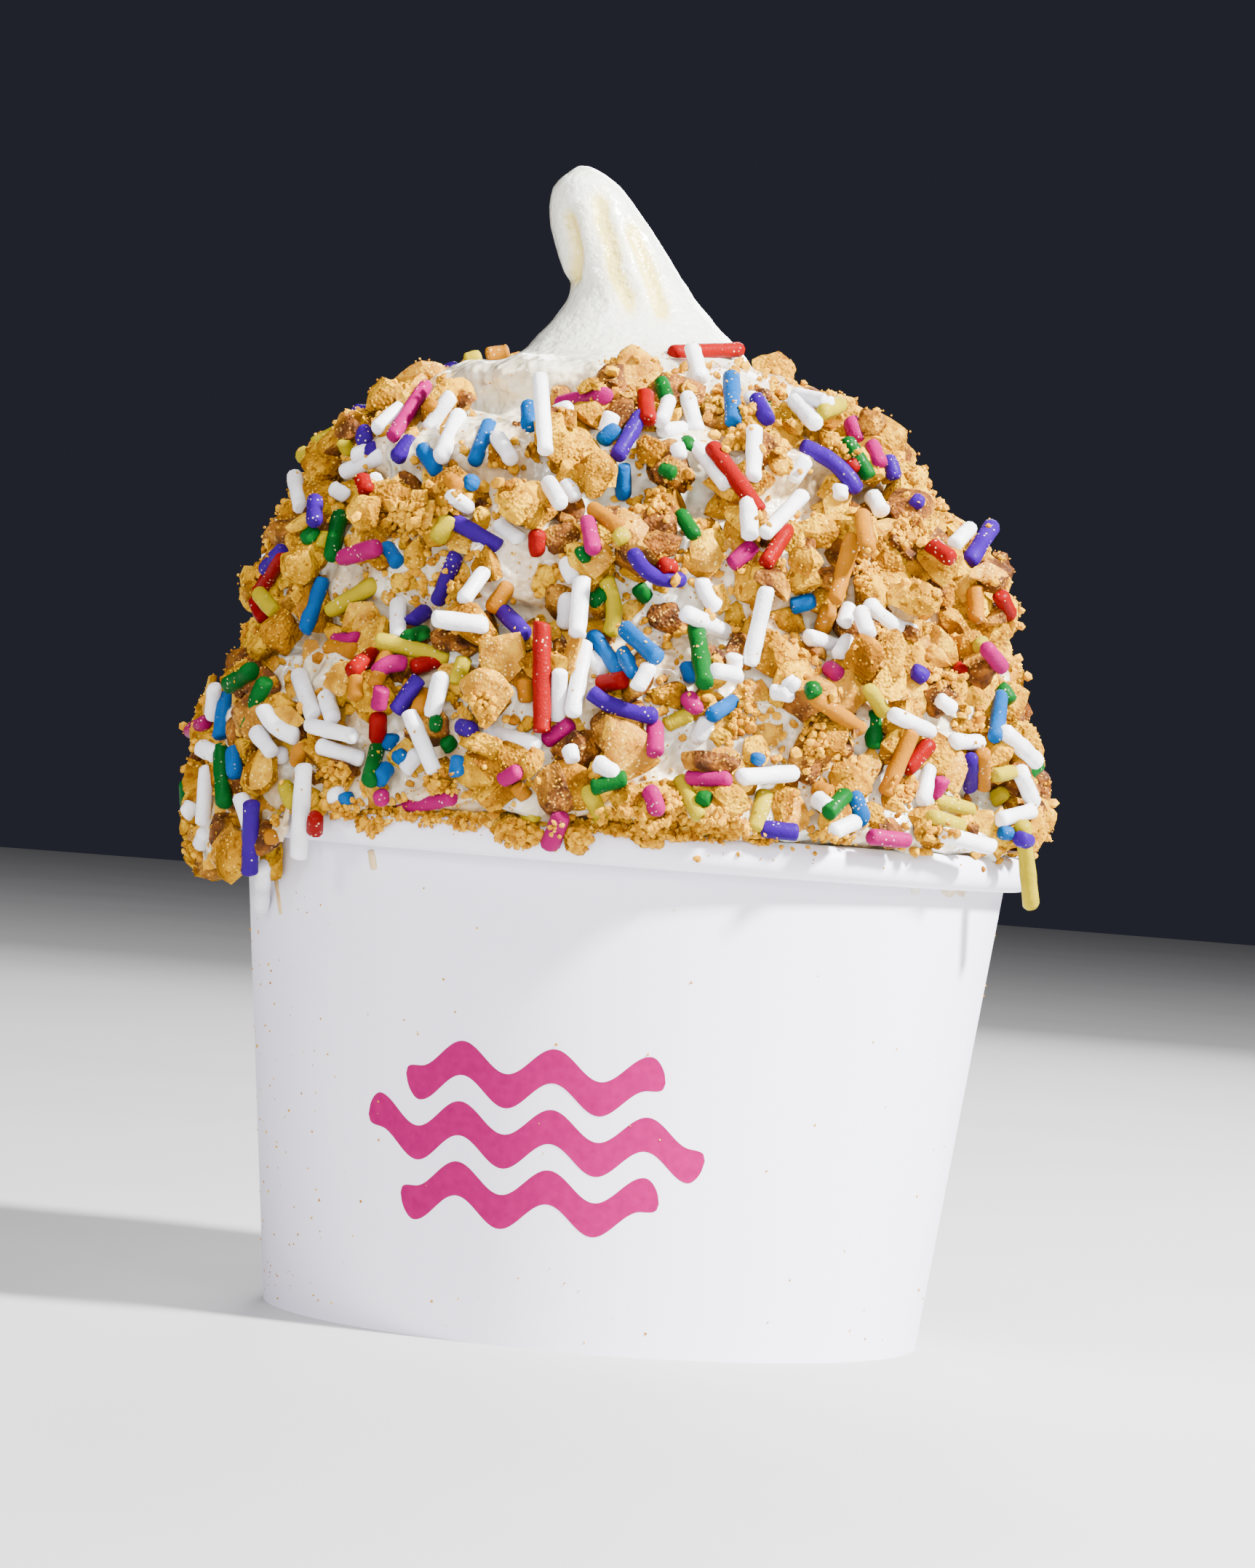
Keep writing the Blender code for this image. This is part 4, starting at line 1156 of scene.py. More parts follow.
def lay_rods(ground, skin, seen, heaps, rng):
    """The rest of the sprinkles, in passes, so that later ones lie across earlier ones."""
    names = list(SUGAR)
    shares = np.array([SUGAR[name][1] for name in names])

    def allowed(point, normal):
        if seen.is_bare(point, normal, OFF_BARE):
            return False
        if seen.from_chunks(point, normal) < OFF_CHUNKS:
            return False
        if normal[1] < WELL_SEEN and rng.random() < WELL_SEEN_SKIPS:
            return False
        return seen.inside(point, PAST_OUTLINE) and not seen.hides_rod(point, ROD_RADIUS)

    for _ in range(ROD_PASSES):
        laid = Heap()
        for point, normal in spread(RODS_PER_PASS, skin, rng, allowed):
            up = Vector(normal)
            level = up.cross(Vector((0, 0, 1))).normalized()
            along = turned_about(level, up, rng.uniform(0, math.pi))
            half = rng.triangular(*ROD_LENGTHS) / 2
            sink = rng.uniform(*ROD_SINKS)
            height, slope = rest_line(ground, Vector(point), along, up, half, ROD_RADIUS, STEEP)
            if height > HIGHEST_ROD:
                continue
            lying = (along + up * slope).normalized()
            centre = Vector(point) + up * (height - sink)
            a, b = centre - lying * half, centre + lying * half
            if max(reach_of(a), reach_of(b)) > ROD_REACH or min(a.z, b.z) < LOWEST_PIECE:
                continue
            spots = (a, centre, b)
            if any(seen.hides_rod(spot, ROD_RADIUS) for spot in spots):
                continue
            if not all(seen.inside(spot, ENDS_PAST_OUTLINE) for spot in spots):
                continue
            if hangs_over(min(a, b, key=lambda spot: spot.z), ROD_RADIUS, rng):
                continue
            bend = lying.cross(up) * half * rng.choice(ROD_BENDS)
            colour = names[rng.choice(len(names), p=shares / shares.sum())]
            points, faces = rod_mesh(a, b, bend, rng)
            heaps[colour].add(points, faces)
            laid.add(points, faces)
        ground.add(*laid.mesh(), "rod")


# --------------------------------------------------------- nuts and cookie


TRIPLES = {
    count: np.array(list(itertools.combinations(range(count), 3)))
    for count in range(*CHUNK_CORNERS)
}


def hull(points):
    """The triangles, turned outwards, of a convex shell round a few points about 1 from the
    origin."""
    triples = TRIPLES[len(points)]
    a, b, c = (points[triples[:, k]] for k in range(3))
    cross = np.cross(b - a, c - a)
    side = cross @ points.T - (cross * a).sum(axis=1)[:, None]
    outer, inner = (side < 1e-9).all(axis=1), (side > -1e-9).all(axis=1)
    return np.concatenate([triples[outer], triples[inner][:, ::-1]])


def split(points, faces, steps):
    """Each triangle split into steps x steps smaller ones."""
    grid = [(i, j) for i in range(steps + 1) for j in range(steps + 1 - i)]
    index = {place: k for k, place in enumerate(grid)}
    weights = np.array([((steps - i - j), i, j) for i, j in grid]) / steps
    small = []
    for i, j in grid:
        if i + j < steps:
            small.append((index[i, j], index[i + 1, j], index[i, j + 1]))
        if i + j < steps - 1:
            small.append((index[i + 1, j], index[i + 1, j + 1], index[i, j + 1]))
    places = (weights @ points[faces]).reshape(-1, 3)
    firsts = (np.arange(len(faces)) * len(grid))[:, None, None]
    every = (np.array(small)[None] + firsts).reshape(-1, 3)
    _, first, again = np.unique(
        np.round(places, 7), axis=0, return_index=True, return_inverse=True
    )
    return places[first], again.reshape(-1)[every]


def chunk_mesh(half, rng, kind, steps):
    """A broken piece with flat faces: its plain shell, the same one roughened, and for each point
    of that one how toasted it is."""
    count = rng.integers(*CHUNK_CORNERS)
    turn = np.arange(count) * GOLDEN_TURN + rng.uniform(0, math.tau)
    level = 1 - (np.arange(count) + 0.5) * 2 / count
    ring = np.sqrt(1 - level**2)
    corners = np.stack([ring * np.cos(turn), ring * np.sin(turn), level], axis=-1)
    corners += rng.normal(0, CORNER_SHIFT, corners.shape)
    corners /= np.linalg.norm(corners, axis=1, keepdims=True)
    if kind == FLAKE:
        corners[:, 1] = np.sign(corners[:, 1]) * np.abs(corners[:, 1]) ** FLAKE_FLATNESS
    faces = hull(corners)
    corners = corners * half * CHUNK_FULLNESS
    points, small = split(corners, faces, steps)
    away = np.linalg.norm(points / half, axis=1)
    outward = points / half / away[:, None]
    points = points * (1 - CORNER_WEAR * (away / away.max()) ** WEAR_POWER)[:, None]
    size = float(np.mean(half))
    shift = rng.uniform(0, 1, 3)
    rough, grain = ROUGHNESS[kind]
    push = size * rough * bumps(points + shift, size * 0.5)
    push += grain * rng.standard_normal(len(points))
    skin = rng.standard_normal(3)
    toasted = outward @ (skin / np.linalg.norm(skin)) * 0.5 + 0.5
    return corners, faces, points + outward * push[:, None], small, toasted


def frame_about(up, turn):
    """Three directions, the second along up and the third turned in the plane across it."""
    level = up.cross(Vector((0, 0, 1)))
    level = level.normalized() if level.length > 1e-3 else Vector((1, 0, 0))
    third = turned_about(level, up, turn)
    return np.array((third.cross(up).normalized(), up, third))


def chunk_half(width, height, kind, rng):
    """Half sizes across, through and along."""
    return np.array((width, min(width, height) * rng.uniform(*THICKNESS[kind]), height)) / 2


def lay_chunk(centre, axes, half, kind, steps, heaps, laid, rng):
    """One piece of that size and pose, for the dressed model and, as a plain shell, for laying."""
    shell, faces, points, small, toasted = chunk_mesh(half, rng, kind, steps)
    heaps[kind].add(points @ axes + np.array(centre), small, toasted)
    laid.add(shell @ axes + np.array(centre), faces)


def lay_seen_chunks(ground, heaps, rng):
    laid = Heap()
    for px, py, width, height, kind, *turn in SEEN_CHUNKS:
        x, z = from_photo((px, py))
        way, distance, _ = ground.sight(x, z)
        if distance is None:
            distance = (Vector((x, 0.0, z)) - CAMERA).length
        half = chunk_half(width / MM_PER_M, height / MM_PER_M, kind, rng)
        point = CAMERA + way * (distance - half[1] * SEEN_CHUNK_RISE)
        if reach_of(point) > PIECE_REACH - half[1]:
            point.xy = point.xy * (PIECE_REACH - half[1]) / reach_of(point)
        rise = max(0.0, point.z - DOME_FROM) * DOME_RISE
        outward = Vector((point.x - LEAN_HIGH, point.y, rise)).normalized()
        up = (outward + -way * SEEN_TURN).normalized()
        right = Vector((0, 0, 1)).cross(up).normalized()
        turn = math.radians(turn[0] if turn else 0)
        third = turned_about(up.cross(right).normalized(), up, turn)
        axes = np.array((third.cross(up).normalized(), up, third))
        lay_chunk(point, axes, half, kind, SEEN_STEPS, heaps, laid, rng)
    ground.add(*laid.mesh(), "chunk")


def hangs_over(point, reach, rng):
    """Whether a piece there, of that reach, would hang over the rim where few do."""
    azimuth = math.atan2(point[1], point[0])
    if point[2] - HANGING_REACH * reach > CUP_HEIGHT or droop_share(azimuth) > DROOP_HANGS_FROM:
        return False
    return point[1] < 0 or rng.random() < KEPT_OFF_BEHIND


def lay_chunks(ground, skin, seen, heaps, rng, *, steps, passes, count, sizes, on_top):
    """Chunks by rule: most at the right, fewer where they leave the cream bare. Those on top keep
    off what the photograph shows."""

    def allowed(point, normal):
        if seen.is_bare(point, normal, sizes[0] * CHUNK_OFF_BARE):
            return False
        if seen.on_ridge(point, sizes[0] * CHUNK_OFF_RIDGE):
            return False
        if on_top and seen.from_chunks(point, normal) < sizes[0] * CHUNK_OFF_SEEN:
            return False
        patch = CHUNK_PATCHINESS * bumps([point], CHUNK_PATCHES)[0]
        right = np.clip(point[0] / RIGHT_FROM, FEWER_AT_LEFT, 1.0)
        return rng.random() < CHUNK_DENSITY + patch + MORE_AT_RIGHT * right

    for _ in range(passes):
        laid = Heap()
        for point, normal in spread(count, skin, rng, allowed):
            kind = rng.choice(list(KIND_SHARES), p=list(KIND_SHARES.values()))
            width = rng.uniform(*sizes)
            half = chunk_half(width, width * rng.uniform(*CHUNK_PROPORTIONS), kind, rng)
            point, normal = Vector(point), Vector(normal)
            up = (normal + Vector(rng.normal(0, CHUNK_TILT, 3))).normalized()
            height = ground.drop(point, normal)[0] or 0.0
            if height > HIGHEST_CHUNK:
                continue
            centre = point + normal * (height + half[1] * rng.uniform(*CHUNK_RISES))
            if not seen.inside(centre, CHUNK_PAST_OUTLINE):
                centre = point - normal * half[1] * CHUNK_SUNK
            reach = float(max(half)) * CHUNK_REACH
            if reach_of(centre) + half[1] > PIECE_REACH or centre.z < LOWEST_PIECE:
                continue
            if not seen.inside(centre, CHUNK_PAST_OUTLINE) or seen.hides_rod(centre, reach):
                continue
            if hangs_over(centre, reach, rng):
                continue
            axes = frame_about(up, rng.uniform(0, math.tau))
            lay_chunk(centre, axes, half, kind, steps, heaps, laid, rng)
        ground.add(*laid.mesh(), "chunk")


OCTAHEDRON = (
    np.array([(1, 0, 0), (-1, 0, 0), (0, 1, 0), (0, -1, 0), (0, 0, 1), (0, 0, -1)], float),
    np.array([
        (0, 2, 4), (2, 1, 4), (1, 3, 4), (3, 0, 4), (2, 0, 5), (1, 2, 5), (3, 1, 5), (0, 3, 5)
    ]),
)


def grains(places, sizes, ball, rng):
    """Small rough grains, each a ball stretched and moved about at random."""
    directions, faces = ball
    count, corners = len(places), len(directions)
    stretch = rng.uniform(*GRAIN_STRETCH, (count, 1, 3))
    rough = rng.uniform(*GRAIN_ROUGHNESS, (count, corners, 1))
    spin = np.linalg.qr(rng.standard_normal((count, 3, 3)))[0]
    points = (directions[None] * stretch * rough) @ spin * (sizes / 2)[:, None, None]
    points = points + places[:, None, :]
    flipped = np.linalg.det(spin) < 0
    all_faces = faces[None] + (np.arange(count) * corners)[:, None, None]
    all_faces[flipped] = all_faces[flipped][:, :, ::-1]
    return points.reshape(-1, 3), all_faces.reshape(-1, 3)


def drop_grains(ground, stuck, skin, seen, rng, *, count, sizes, ball, shares, bare, open_cream):
    """Grains dropped on whatever is there. The shares are how many stay on chunks and on sprinkles,
    bare how many on plain cream, and open_cream how many on cream away from any piece."""
    stay = {"cream": 1.0, "cup": 0.5, "chunk": shares[0], "crumb": shares[0], "rod": shares[1]}
    points, normals = skin.draw(rng, count)
    patchy = bumps(points, GRAIN_PATCHES) * 0.5 + 0.5
    keep = rng.random(count) < GRAINS_EVERYWHERE + GRAINS_IN_PATCHES * patchy
    least, most = sizes
    sizes = rng.triangular(least, least + (most - least) * USUAL_GRAIN, most, count)
    places, wide = [], []
    for k in np.flatnonzero(keep):
        point, normal = Vector(points[k]), Vector(normals[k])
        if seen.is_bare(points[k], normals[k]) and rng.random() > bare:
            continue
        height, kind = ground.drop(point, normal)
        if height is None or rng.random() > stay[kind]:
            continue
        place = point + normal * (height + sizes[k] * GRAIN_RISE)
        if reach_of(place) > PIECE_REACH or place.z < LOWEST_GRAIN:
            continue
        if seen.on_ridge(place, sizes[k]):
            continue
        if kind == "cream" and rng.random() > open_cream:
            if stuck.find_nearest(place, CLUSTER)[3] is None:
                continue
        margin = 0.0 if kind == "rod" else sizes[k] * GRAIN_OFF_SEEN
        if seen.hides_rod(place, margin) and rng.random() > shares[1]:
            continue
        places.append(place)
        wide.append(sizes[k])
    return grains(np.array(places), np.array(wide), ball, rng)


def make_drips_and_shadow_smear(ground, paint, rng):
    heap = Heap()
    for *pixels, radius in DRIPS_AND_SHADOW_SMEAR:
        ends = []
        for pixel in pixels:
            way, distance, _ = ground.sight(*from_photo(pixel))
            ends.append(CAMERA + way * (distance + radius * DRIP_SUNK))
        heap.add(*rod_mesh(*ends, Vector((0, 0, 0)), rng, radius))
    add_piece("drips_and_shadow_smear", *heap.mesh(), paint)


def lay_sandy(ground, ball, rng):
    """The clusters of crumbs that the photograph shows, laid in the line of sight."""
    places, wide = [], []
    for px, py, across, up, count in SANDY:
        x, z = from_photo((px, py))
        angle, out = rng.uniform(0, math.tau, count), rng.random(count) ** SANDY_OUTWARDS
        sizes = rng.triangular(*SANDY_SIZES, count) * min(1.0, SANDY_FINEST + min(across, up) / 2)
        for k in range(count):
            aside = across / MM_PER_M * out[k] * math.cos(angle[k])
            above = up / MM_PER_M * out[k] * math.sin(angle[k])
            way, distance, kind = ground.sight(x + aside, z + above)
            if distance is None or distance > CAMERA_DISTANCE:
                continue
            if kind == "rod" and rng.random() < SANDY_OFF_RODS:
                continue
            depth = SANDY_DEPTH * rng.random() ** 2
            place = CAMERA + way * (distance - sizes[k] * GRAIN_RISE - depth)
            if reach_of(place) < PIECE_REACH:
                places.append(place)
                wide.append(sizes[k])
    return grains(np.array(places), np.array(wide), ball, rng)


# ---------------------------------------------------------------- materials


class Paint:
    """A material with one Principled shader, and short ways to add procedural nodes to it."""

    def __init__(self, name, colour, roughness, **sockets):
        self.material = bpy.data.materials.new(name)
        self.material.use_nodes = True
        self.tree = self.material.node_tree
        self.shader = self.tree.nodes["Principled BSDF"]
        self.set("Base Color", (*colour, 1.0))
        self.set("Roughness", roughness)
        for socket, value in sockets.items():
            self.set(socket.replace("_", " "), value)
        self.place = self.node("ShaderNodeTexCoord").outputs["Object"]
        self.height = None

    def set(self, socket, value):
        self.shader.inputs[socket].default_value = value

    def node(self, kind, **settings):
        made = self.tree.nodes.new(kind)
        for name, value in settings.items():
            setattr(made, name, value)
        return made

    def link(self, output, socket):
        self.tree.links.new(output, socket)

    def noise(self, size, detail=3.0, stretch=None):
        """Noise whose bumps are about size across."""
        made = self.node("ShaderNodeTexNoise")
        made.inputs["Scale"].default_value = 0.5 / size
        made.inputs["Detail"].default_value = detail
        place = self.place
        if stretch:
            mapping = self.node("ShaderNodeMapping")
            mapping.inputs["Scale"].default_value = stretch
            self.link(place, mapping.inputs["Vector"])
            place = mapping.outputs["Vector"]
        self.link(place, made.inputs["Vector"])
        return made.outputs["Fac"]

    def patches(self, size, detail, low, high, to_low=0.0, to_high=1.0):
        """Noise of which low and high turn into the last two numbers."""
        return self.range(self.noise(size, detail), low, high, to_low, to_high)

    def cells(self, size):
        made = self.node("ShaderNodeTexVoronoi")
        made.inputs["Scale"].default_value = 1 / size
        self.link(self.place, made.inputs["Vector"])
        return made.outputs["Distance"]

    def value(self, name):
        return self.node("ShaderNodeAttribute", attribute_name=name).outputs["Fac"]

    def each(self):
        """A number between 0 and 1 for each separate bit of the mesh."""
        return self.node("ShaderNodeNewGeometry").outputs["Random Per Island"]

    def range(self, value, low, high, to_low=0.0, to_high=1.0):
        made = self.node("ShaderNodeMapRange")
        limits = {"From Min": low, "From Max": high, "To Min": to_low, "To Max": to_high}
        for socket, number in limits.items():
            made.inputs[socket].default_value = number
        self.link(value, made.inputs["Value"])
        return made.outputs["Result"]

    def math(self, operation, first, second):
        made = self.node("ShaderNodeMath", operation=operation)
        for socket, value in zip(made.inputs, (first, second)):
            if isinstance(value, (int, float)):
                socket.default_value = value
            else:
                self.link(value, socket)
        return made.outputs["Value"]

    def times(self, first, second):
        return self.math("MULTIPLY", first, second)

    def ramp(self, value, positions, *colours):
        """Colours by position."""
        made = self.node("ShaderNodeValToRGB")
        elements = made.color_ramp.elements
        while len(elements) < len(colours):
            elements.new(1.0)
        for element, position, colour in zip(elements, positions, colours):
            element.position = position
            element.color = (*colour, 1.0)
        self.link(value, made.inputs["Fac"])
        return made.outputs["Color"]

    def mix(self, share, first, second):
        """A blend of two colours, each a socket or a tuple."""
        made = self.node("ShaderNodeMix", data_type="RGBA")
        self.link(share, made.inputs["Factor"])
        for socket, value in ((made.inputs[6], first), (made.inputs[7], second)):
            if isinstance(value, tuple):
                socket.default_value = (*value, 1.0)
            else:
                self.link(value, socket)
        return made.outputs[2]

    def colour(self, output):
        self.link(output, self.shader.inputs["Base Color"])

    def roughness(self, output):
        self.link(output, self.shader.inputs["Roughness"])

    def relief(self, height, distance, strength=1.0, under=None):
        """Relief of that depth, on top of what lies under it."""
        made = self.node("ShaderNodeBump")
        made.inputs["Distance"].default_value = distance
        made.inputs["Strength"].default_value = strength
        self.link(height, made.inputs["Height"])
        if under:
            self.link(under, made.inputs["Normal"])
        return made.outputs["Normal"]

    def bump(self, height, distance, strength=1.0):
        """Adds relief of that depth on top of any added before."""
        self.height = self.relief(height, distance, strength, self.height)
        self.link(self.height, self.shader.inputs["Normal"])


def cream_paint():
    paint = Paint(
        "vanilla_cream", (0.92, 0.88, 0.74), 0.3, Subsurface_Weight=0.40, Subsurface_Scale=0.0011,
        Specular_IOR_Level=0.6, Coat_Weight=1.0, Coat_Roughness=0.10,
    )
    paint.set("Subsurface Radius", (1.0, 0.85, 0.6))
    height = paint.node("ShaderNodeSeparateXYZ")
    paint.link(paint.place, height.inputs["Vector"])
    covered = paint.range(height.outputs["Z"], 0.114, 0.108)
    bare = paint.range(covered, 0.0, 1.0, 1.0, 0.12)
    clean = paint.mix(paint.patches(0.006, 2.0, 0.35, 0.65), (0.77, 0.79, 0.70), (0.73, 0.74, 0.59))
    frost = paint.times(paint.patches(0.00045, 3.0, 0.56, 0.70), 0.5)
    clean = paint.mix(frost, clean, (0.95, 0.95, 0.93))
    # Painted shade: the hollows and the crease turn darker and yellow.
    clean = paint.mix(paint.range(paint.value("streak_and_shade"), 0.0, 0.55), clean, (0.79, 0.66, 0.19))
    # Tan stains on the cream among the pieces, laid on strongly so that they are also painted shade
    # between the pieces.
    stain_and_shade = paint.times(covered, paint.times(paint.patches(0.0045, 4.0, 0.34, 0.60), 0.74))
    paint.colour(paint.mix(stain_and_shade, clean, (0.60, 0.37, 0.10)))
    paint.roughness(paint.patches(0.0022, 3.0, 0.4, 0.62, 0.20, 0.42))
    paint.bump(paint.noise(0.0012, 4.0), 0.00030, 0.6)
    paint.bump(paint.times(paint.noise(0.0010, 1.0), covered), 0.0016)
    paint.bump(paint.times(paint.noise(0.00040, 3.0), bare), 0.00030)
    pools = paint.relief(paint.times(paint.noise(0.0014, 0.5), covered), 0.0022)
    wet = paint.relief(paint.times(paint.noise(0.00075, 1.5), bare), 0.00030, under=pools)
    paint.link(wet, paint.shader.inputs["Coat Normal"])
    return paint.material


def drip_and_shadow_paint():
    paint = Paint(
        "stained_cream_and_shadow", (0.6, 0.4, 0.15), 0.25, Subsurface_Weight=0.5, Subsurface_Scale=0.0012,
        Coat_Weight=0.6,
    )
    # The tan of stained cream, which on the last drip is partly painted shadow.
    tone = paint.patches(0.0018, 3.0, 0.35, 0.65)
    paint.colour(paint.mix(tone, (0.66, 0.50, 0.24), (0.48, 0.30, 0.09)))
    paint.bump(paint.noise(0.0006, 3.0), 0.00010, 0.6)
    return paint.material


def sugar_paint(name, colour):
    white = name == WHITE
    paint = Paint(
        "sugar_" + name, colour, 0.42, Subsurface_Weight=0.25 if white else 0.0,
        Subsurface_Scale=0.0005, Specular_IOR_Level=0.45 if white else 0.05,
    )
    paint.set("Subsurface Radius", (1.0, 0.9, 0.8))
    dark = tuple(channel * 0.70 for channel in colour)
    pale = tuple(channel * 1.15 + 0.004 for channel in colour)
    mottled = paint.mix(paint.patches(0.0012, 4.0, 0.3, 0.7), dark, colour)
    each = paint.mix(paint.range(paint.each(), 0.0, 1.0, 0.0, 0.35), mottled, pale)
    flecks = paint.range(paint.cells(0.00062), 0.21, 0.10)
    flecks = paint.times(flecks, paint.patches(0.0016, 2.0, 0.50, 0.58))
    paint.colour(paint.mix(flecks, each, (0.74, 0.60, 0.40)))
    paint.roughness(paint.patches(0.0008, 3.0, 0.35, 0.65, 0.32, 0.55))
    paint.bump(paint.noise(0.0007, 3.0), 0.00012, 0.8)
    paint.bump(paint.cells(0.00030), 0.00004, 0.8)
    return paint.material


def granular(paint, depth):
    """The sandy surface of broken cookie."""
    paint.bump(paint.noise(0.0010, 6.0), depth)
    paint.bump(paint.range(paint.cells(0.00042), 0.0, 0.7, 1.0, 0.0), depth * 0.7)


def sandy(paint, colour, pale, dark):
    """The colour with pale grains of sugar and dark pits in it."""
    grain = paint.range(paint.cells(0.00048), 0.34, 0.14)
    grain = paint.times(grain, paint.patches(0.0013, 2.0, 0.42, 0.58))
    colour = paint.mix(paint.times(grain, 0.85), colour, pale)
    pits = paint.patches(0.00042, 2.0, 0.44, 0.32)
    return paint.mix(paint.times(pits, 0.80), colour, dark)


def edges(paint):
    """1 along the sharp edges of a piece, 0 on its faces."""
    return paint.range(paint.node("ShaderNodeNewGeometry").outputs["Pointiness"], 0.51, 0.58)


def cookie_paint():
    paint = Paint("cookie_crumb", (0.6, 0.3, 0.02), 0.8, Specular_IOR_Level=0.03)
    grain, tones = paint.noise(0.0016, 5.0), (0.36, 0.5, 0.62)
    pale = paint.ramp(grain, tones, (0.34, 0.152, 0.001), (0.51, 0.254, 0.002), (0.70, 0.40, 0.006))
    brown = paint.ramp(grain, tones, (0.12, 0.04, 0.001), (0.24, 0.09, 0.0012), (0.40, 0.17, 0.003))
    toast = paint.range(paint.value("toast"), 0.25, 0.85, 0.0, 0.45)
    share = paint.math("ADD", paint.range(paint.each(), 0.2, 1.0, -0.15, 0.85), toast)
    body = paint.mix(paint.range(share, 0.0, 1.0), pale, brown)
    body = sandy(paint, body, (0.86, 0.56, 0.06), (0.14, 0.042, 0.001))
    paint.colour(paint.mix(paint.times(edges(paint), 0.60), body, (0.34, 0.120, 0.0015)))
    granular(paint, 0.00024)
    return paint.material


def toasted_paint():
    paint = Paint("toasted_nut", (0.42, 0.2, 0.03), 0.6, Specular_IOR_Level=0.10)
    grain = paint.noise(0.0009, 4.0)
    flesh = paint.ramp(
        grain, (0.36, 0.5, 0.64), (0.19, 0.070, 0.003), (0.33, 0.138, 0.005), (0.49, 0.24, 0.015)
    )
    skin = paint.ramp(
        grain, (0.35, 0.5, 0.66), (0.040, 0.012, 0.002), (0.115, 0.035, 0.004), (0.26, 0.090, 0.008)
    )
    toast = paint.range(paint.value("toast"), 0.15, 0.6)
    share = paint.math("ADD", paint.range(paint.each(), 0.35, 1.0, 0.0, 0.75), toast)
    body = paint.mix(paint.range(share, 0.15, 0.9), flesh, skin)
    paint.colour(sandy(paint, body, (0.62, 0.36, 0.06), (0.07, 0.020, 0.001)))
    granular(paint, 0.00017)
    return paint.material


def flake_paint():
    paint = Paint(
        "pale_nut", (0.8, 0.58, 0.1), 0.5, Subsurface_Weight=0.12, Subsurface_Scale=0.0006,
        Specular_IOR_Level=0.12,
    )
    grain, tones = paint.noise(0.0011, 6.0), (0.35, 0.5, 0.66)
    pale = paint.ramp(grain, tones, (0.36, 0.162, 0.001), (0.54, 0.290, 0.003), (0.72, 0.45, 0.010))
    rich = paint.ramp(grain, tones, (0.26, 0.098, 0.002), (0.40, 0.168, 0.004), (0.54, 0.27, 0.012))
    toast = paint.range(paint.value("toast"), 0.2, 0.8, 0.0, 0.35)
    share = paint.math("ADD", paint.range(paint.each(), 0.0, 1.0, -0.2, 0.7), toast)
    body = paint.mix(paint.math("ADD", share, paint.times(edges(paint), 0.3)), pale, rich)
    paint.colour(sandy(paint, body, (0.90, 0.68, 0.20), (0.30, 0.115, 0.002)))
    granular(paint, 0.00011)
    return paint.material


def crumb_paint(name, palest, share):
    """Crumbs, of which that share is brown."""
    paint = Paint(name, (0.6, 0.3, 0.02), 0.7, Specular_IOR_Level=0.05)
    grain = paint.noise(0.0004, 3.0)
    pale = paint.ramp(grain, (0.3, 0.5, 0.7), (0.37, 0.152, 0.001), (0.55, 0.268, 0.003), palest)
    brown = paint.ramp(grain, (0.3, 0.6), (0.15, 0.045, 0.002), (0.33, 0.118, 0.004))
    paint.colour(paint.mix(paint.range(paint.each(), 1 - share, 1.0, 0.0, 0.9), pale, brown))
    paint.bump(paint.noise(0.0003, 3.0), 0.00008, 0.7)
    return paint.material


def fibres(paint):
    """The paper's fibres, which show in the print too."""
    paint.bump(paint.noise(0.0005, 4.0, (1, 1, 0.35)), 0.00006, 0.35)


def paper_paint():
    paint = Paint("white_paper", (0.83, 0.825, 0.89), 0.45, Coat_Weight=0.1, Coat_Roughness=0.35)
    tone = paint.range(paint.noise(0.010, 4.0, (1, 1, 0.5)), 0.3, 0.7)
    sheet = paint.mix(tone, (0.79, 0.785, 0.89), (0.825, 0.82, 0.925))
    specks = paint.patches(0.0006, 2.0, 0.76, 0.82)
    paint.colour(paint.mix(specks, sheet, (0.62, 0.58, 0.52)))
    paint.roughness(paint.patches(0.0012, 3.0, 0.3, 0.7, 0.38, 0.54))
    fibres(paint)
    return paint.material


def ink_paint():
    paint = Paint("magenta_ink", (0.62, 0.008, 0.20), 0.5, Specular_IOR_Level=0.05)
    grain = paint.patches(0.0005, 4.0, 0.25, 0.75)
    paint.colour(paint.mix(grain, (0.24, 0.0001, 0.076), (0.31, 0.0002, 0.098)))
    fibres(paint)
    return paint.material


def floor_paint():
    paint = Paint("pale_floor", (0.62, 0.61, 0.60), 0.55)
    tone = paint.patches(0.05, 4.0, 0.3, 0.7)
    paint.colour(paint.mix(tone, (0.40, 0.395, 0.39), (0.43, 0.425, 0.42)))
    return paint.material


# ------------------------------------------------------------- on the paper

# The print: bold waves, level with each other, round the front of the cup.
WAVE_MIDDLE = math.radians(258)  # azimuth of the middle of the print
WAVE_HEIGHTS = (0.0165, 0.0232, 0.0299)
WAVE_LENGTHS = (0.030, 0.040, 0.030)
WAVE_SWING = 0.0016
WAVE_PITCH = 0.0105
WAVE_WIDTH = 0.0038
WAVE_COLUMNS, WAVE_ROWS = 160, 7
INK_LIFT = 0.00002
SEAM_STEP = 0.002

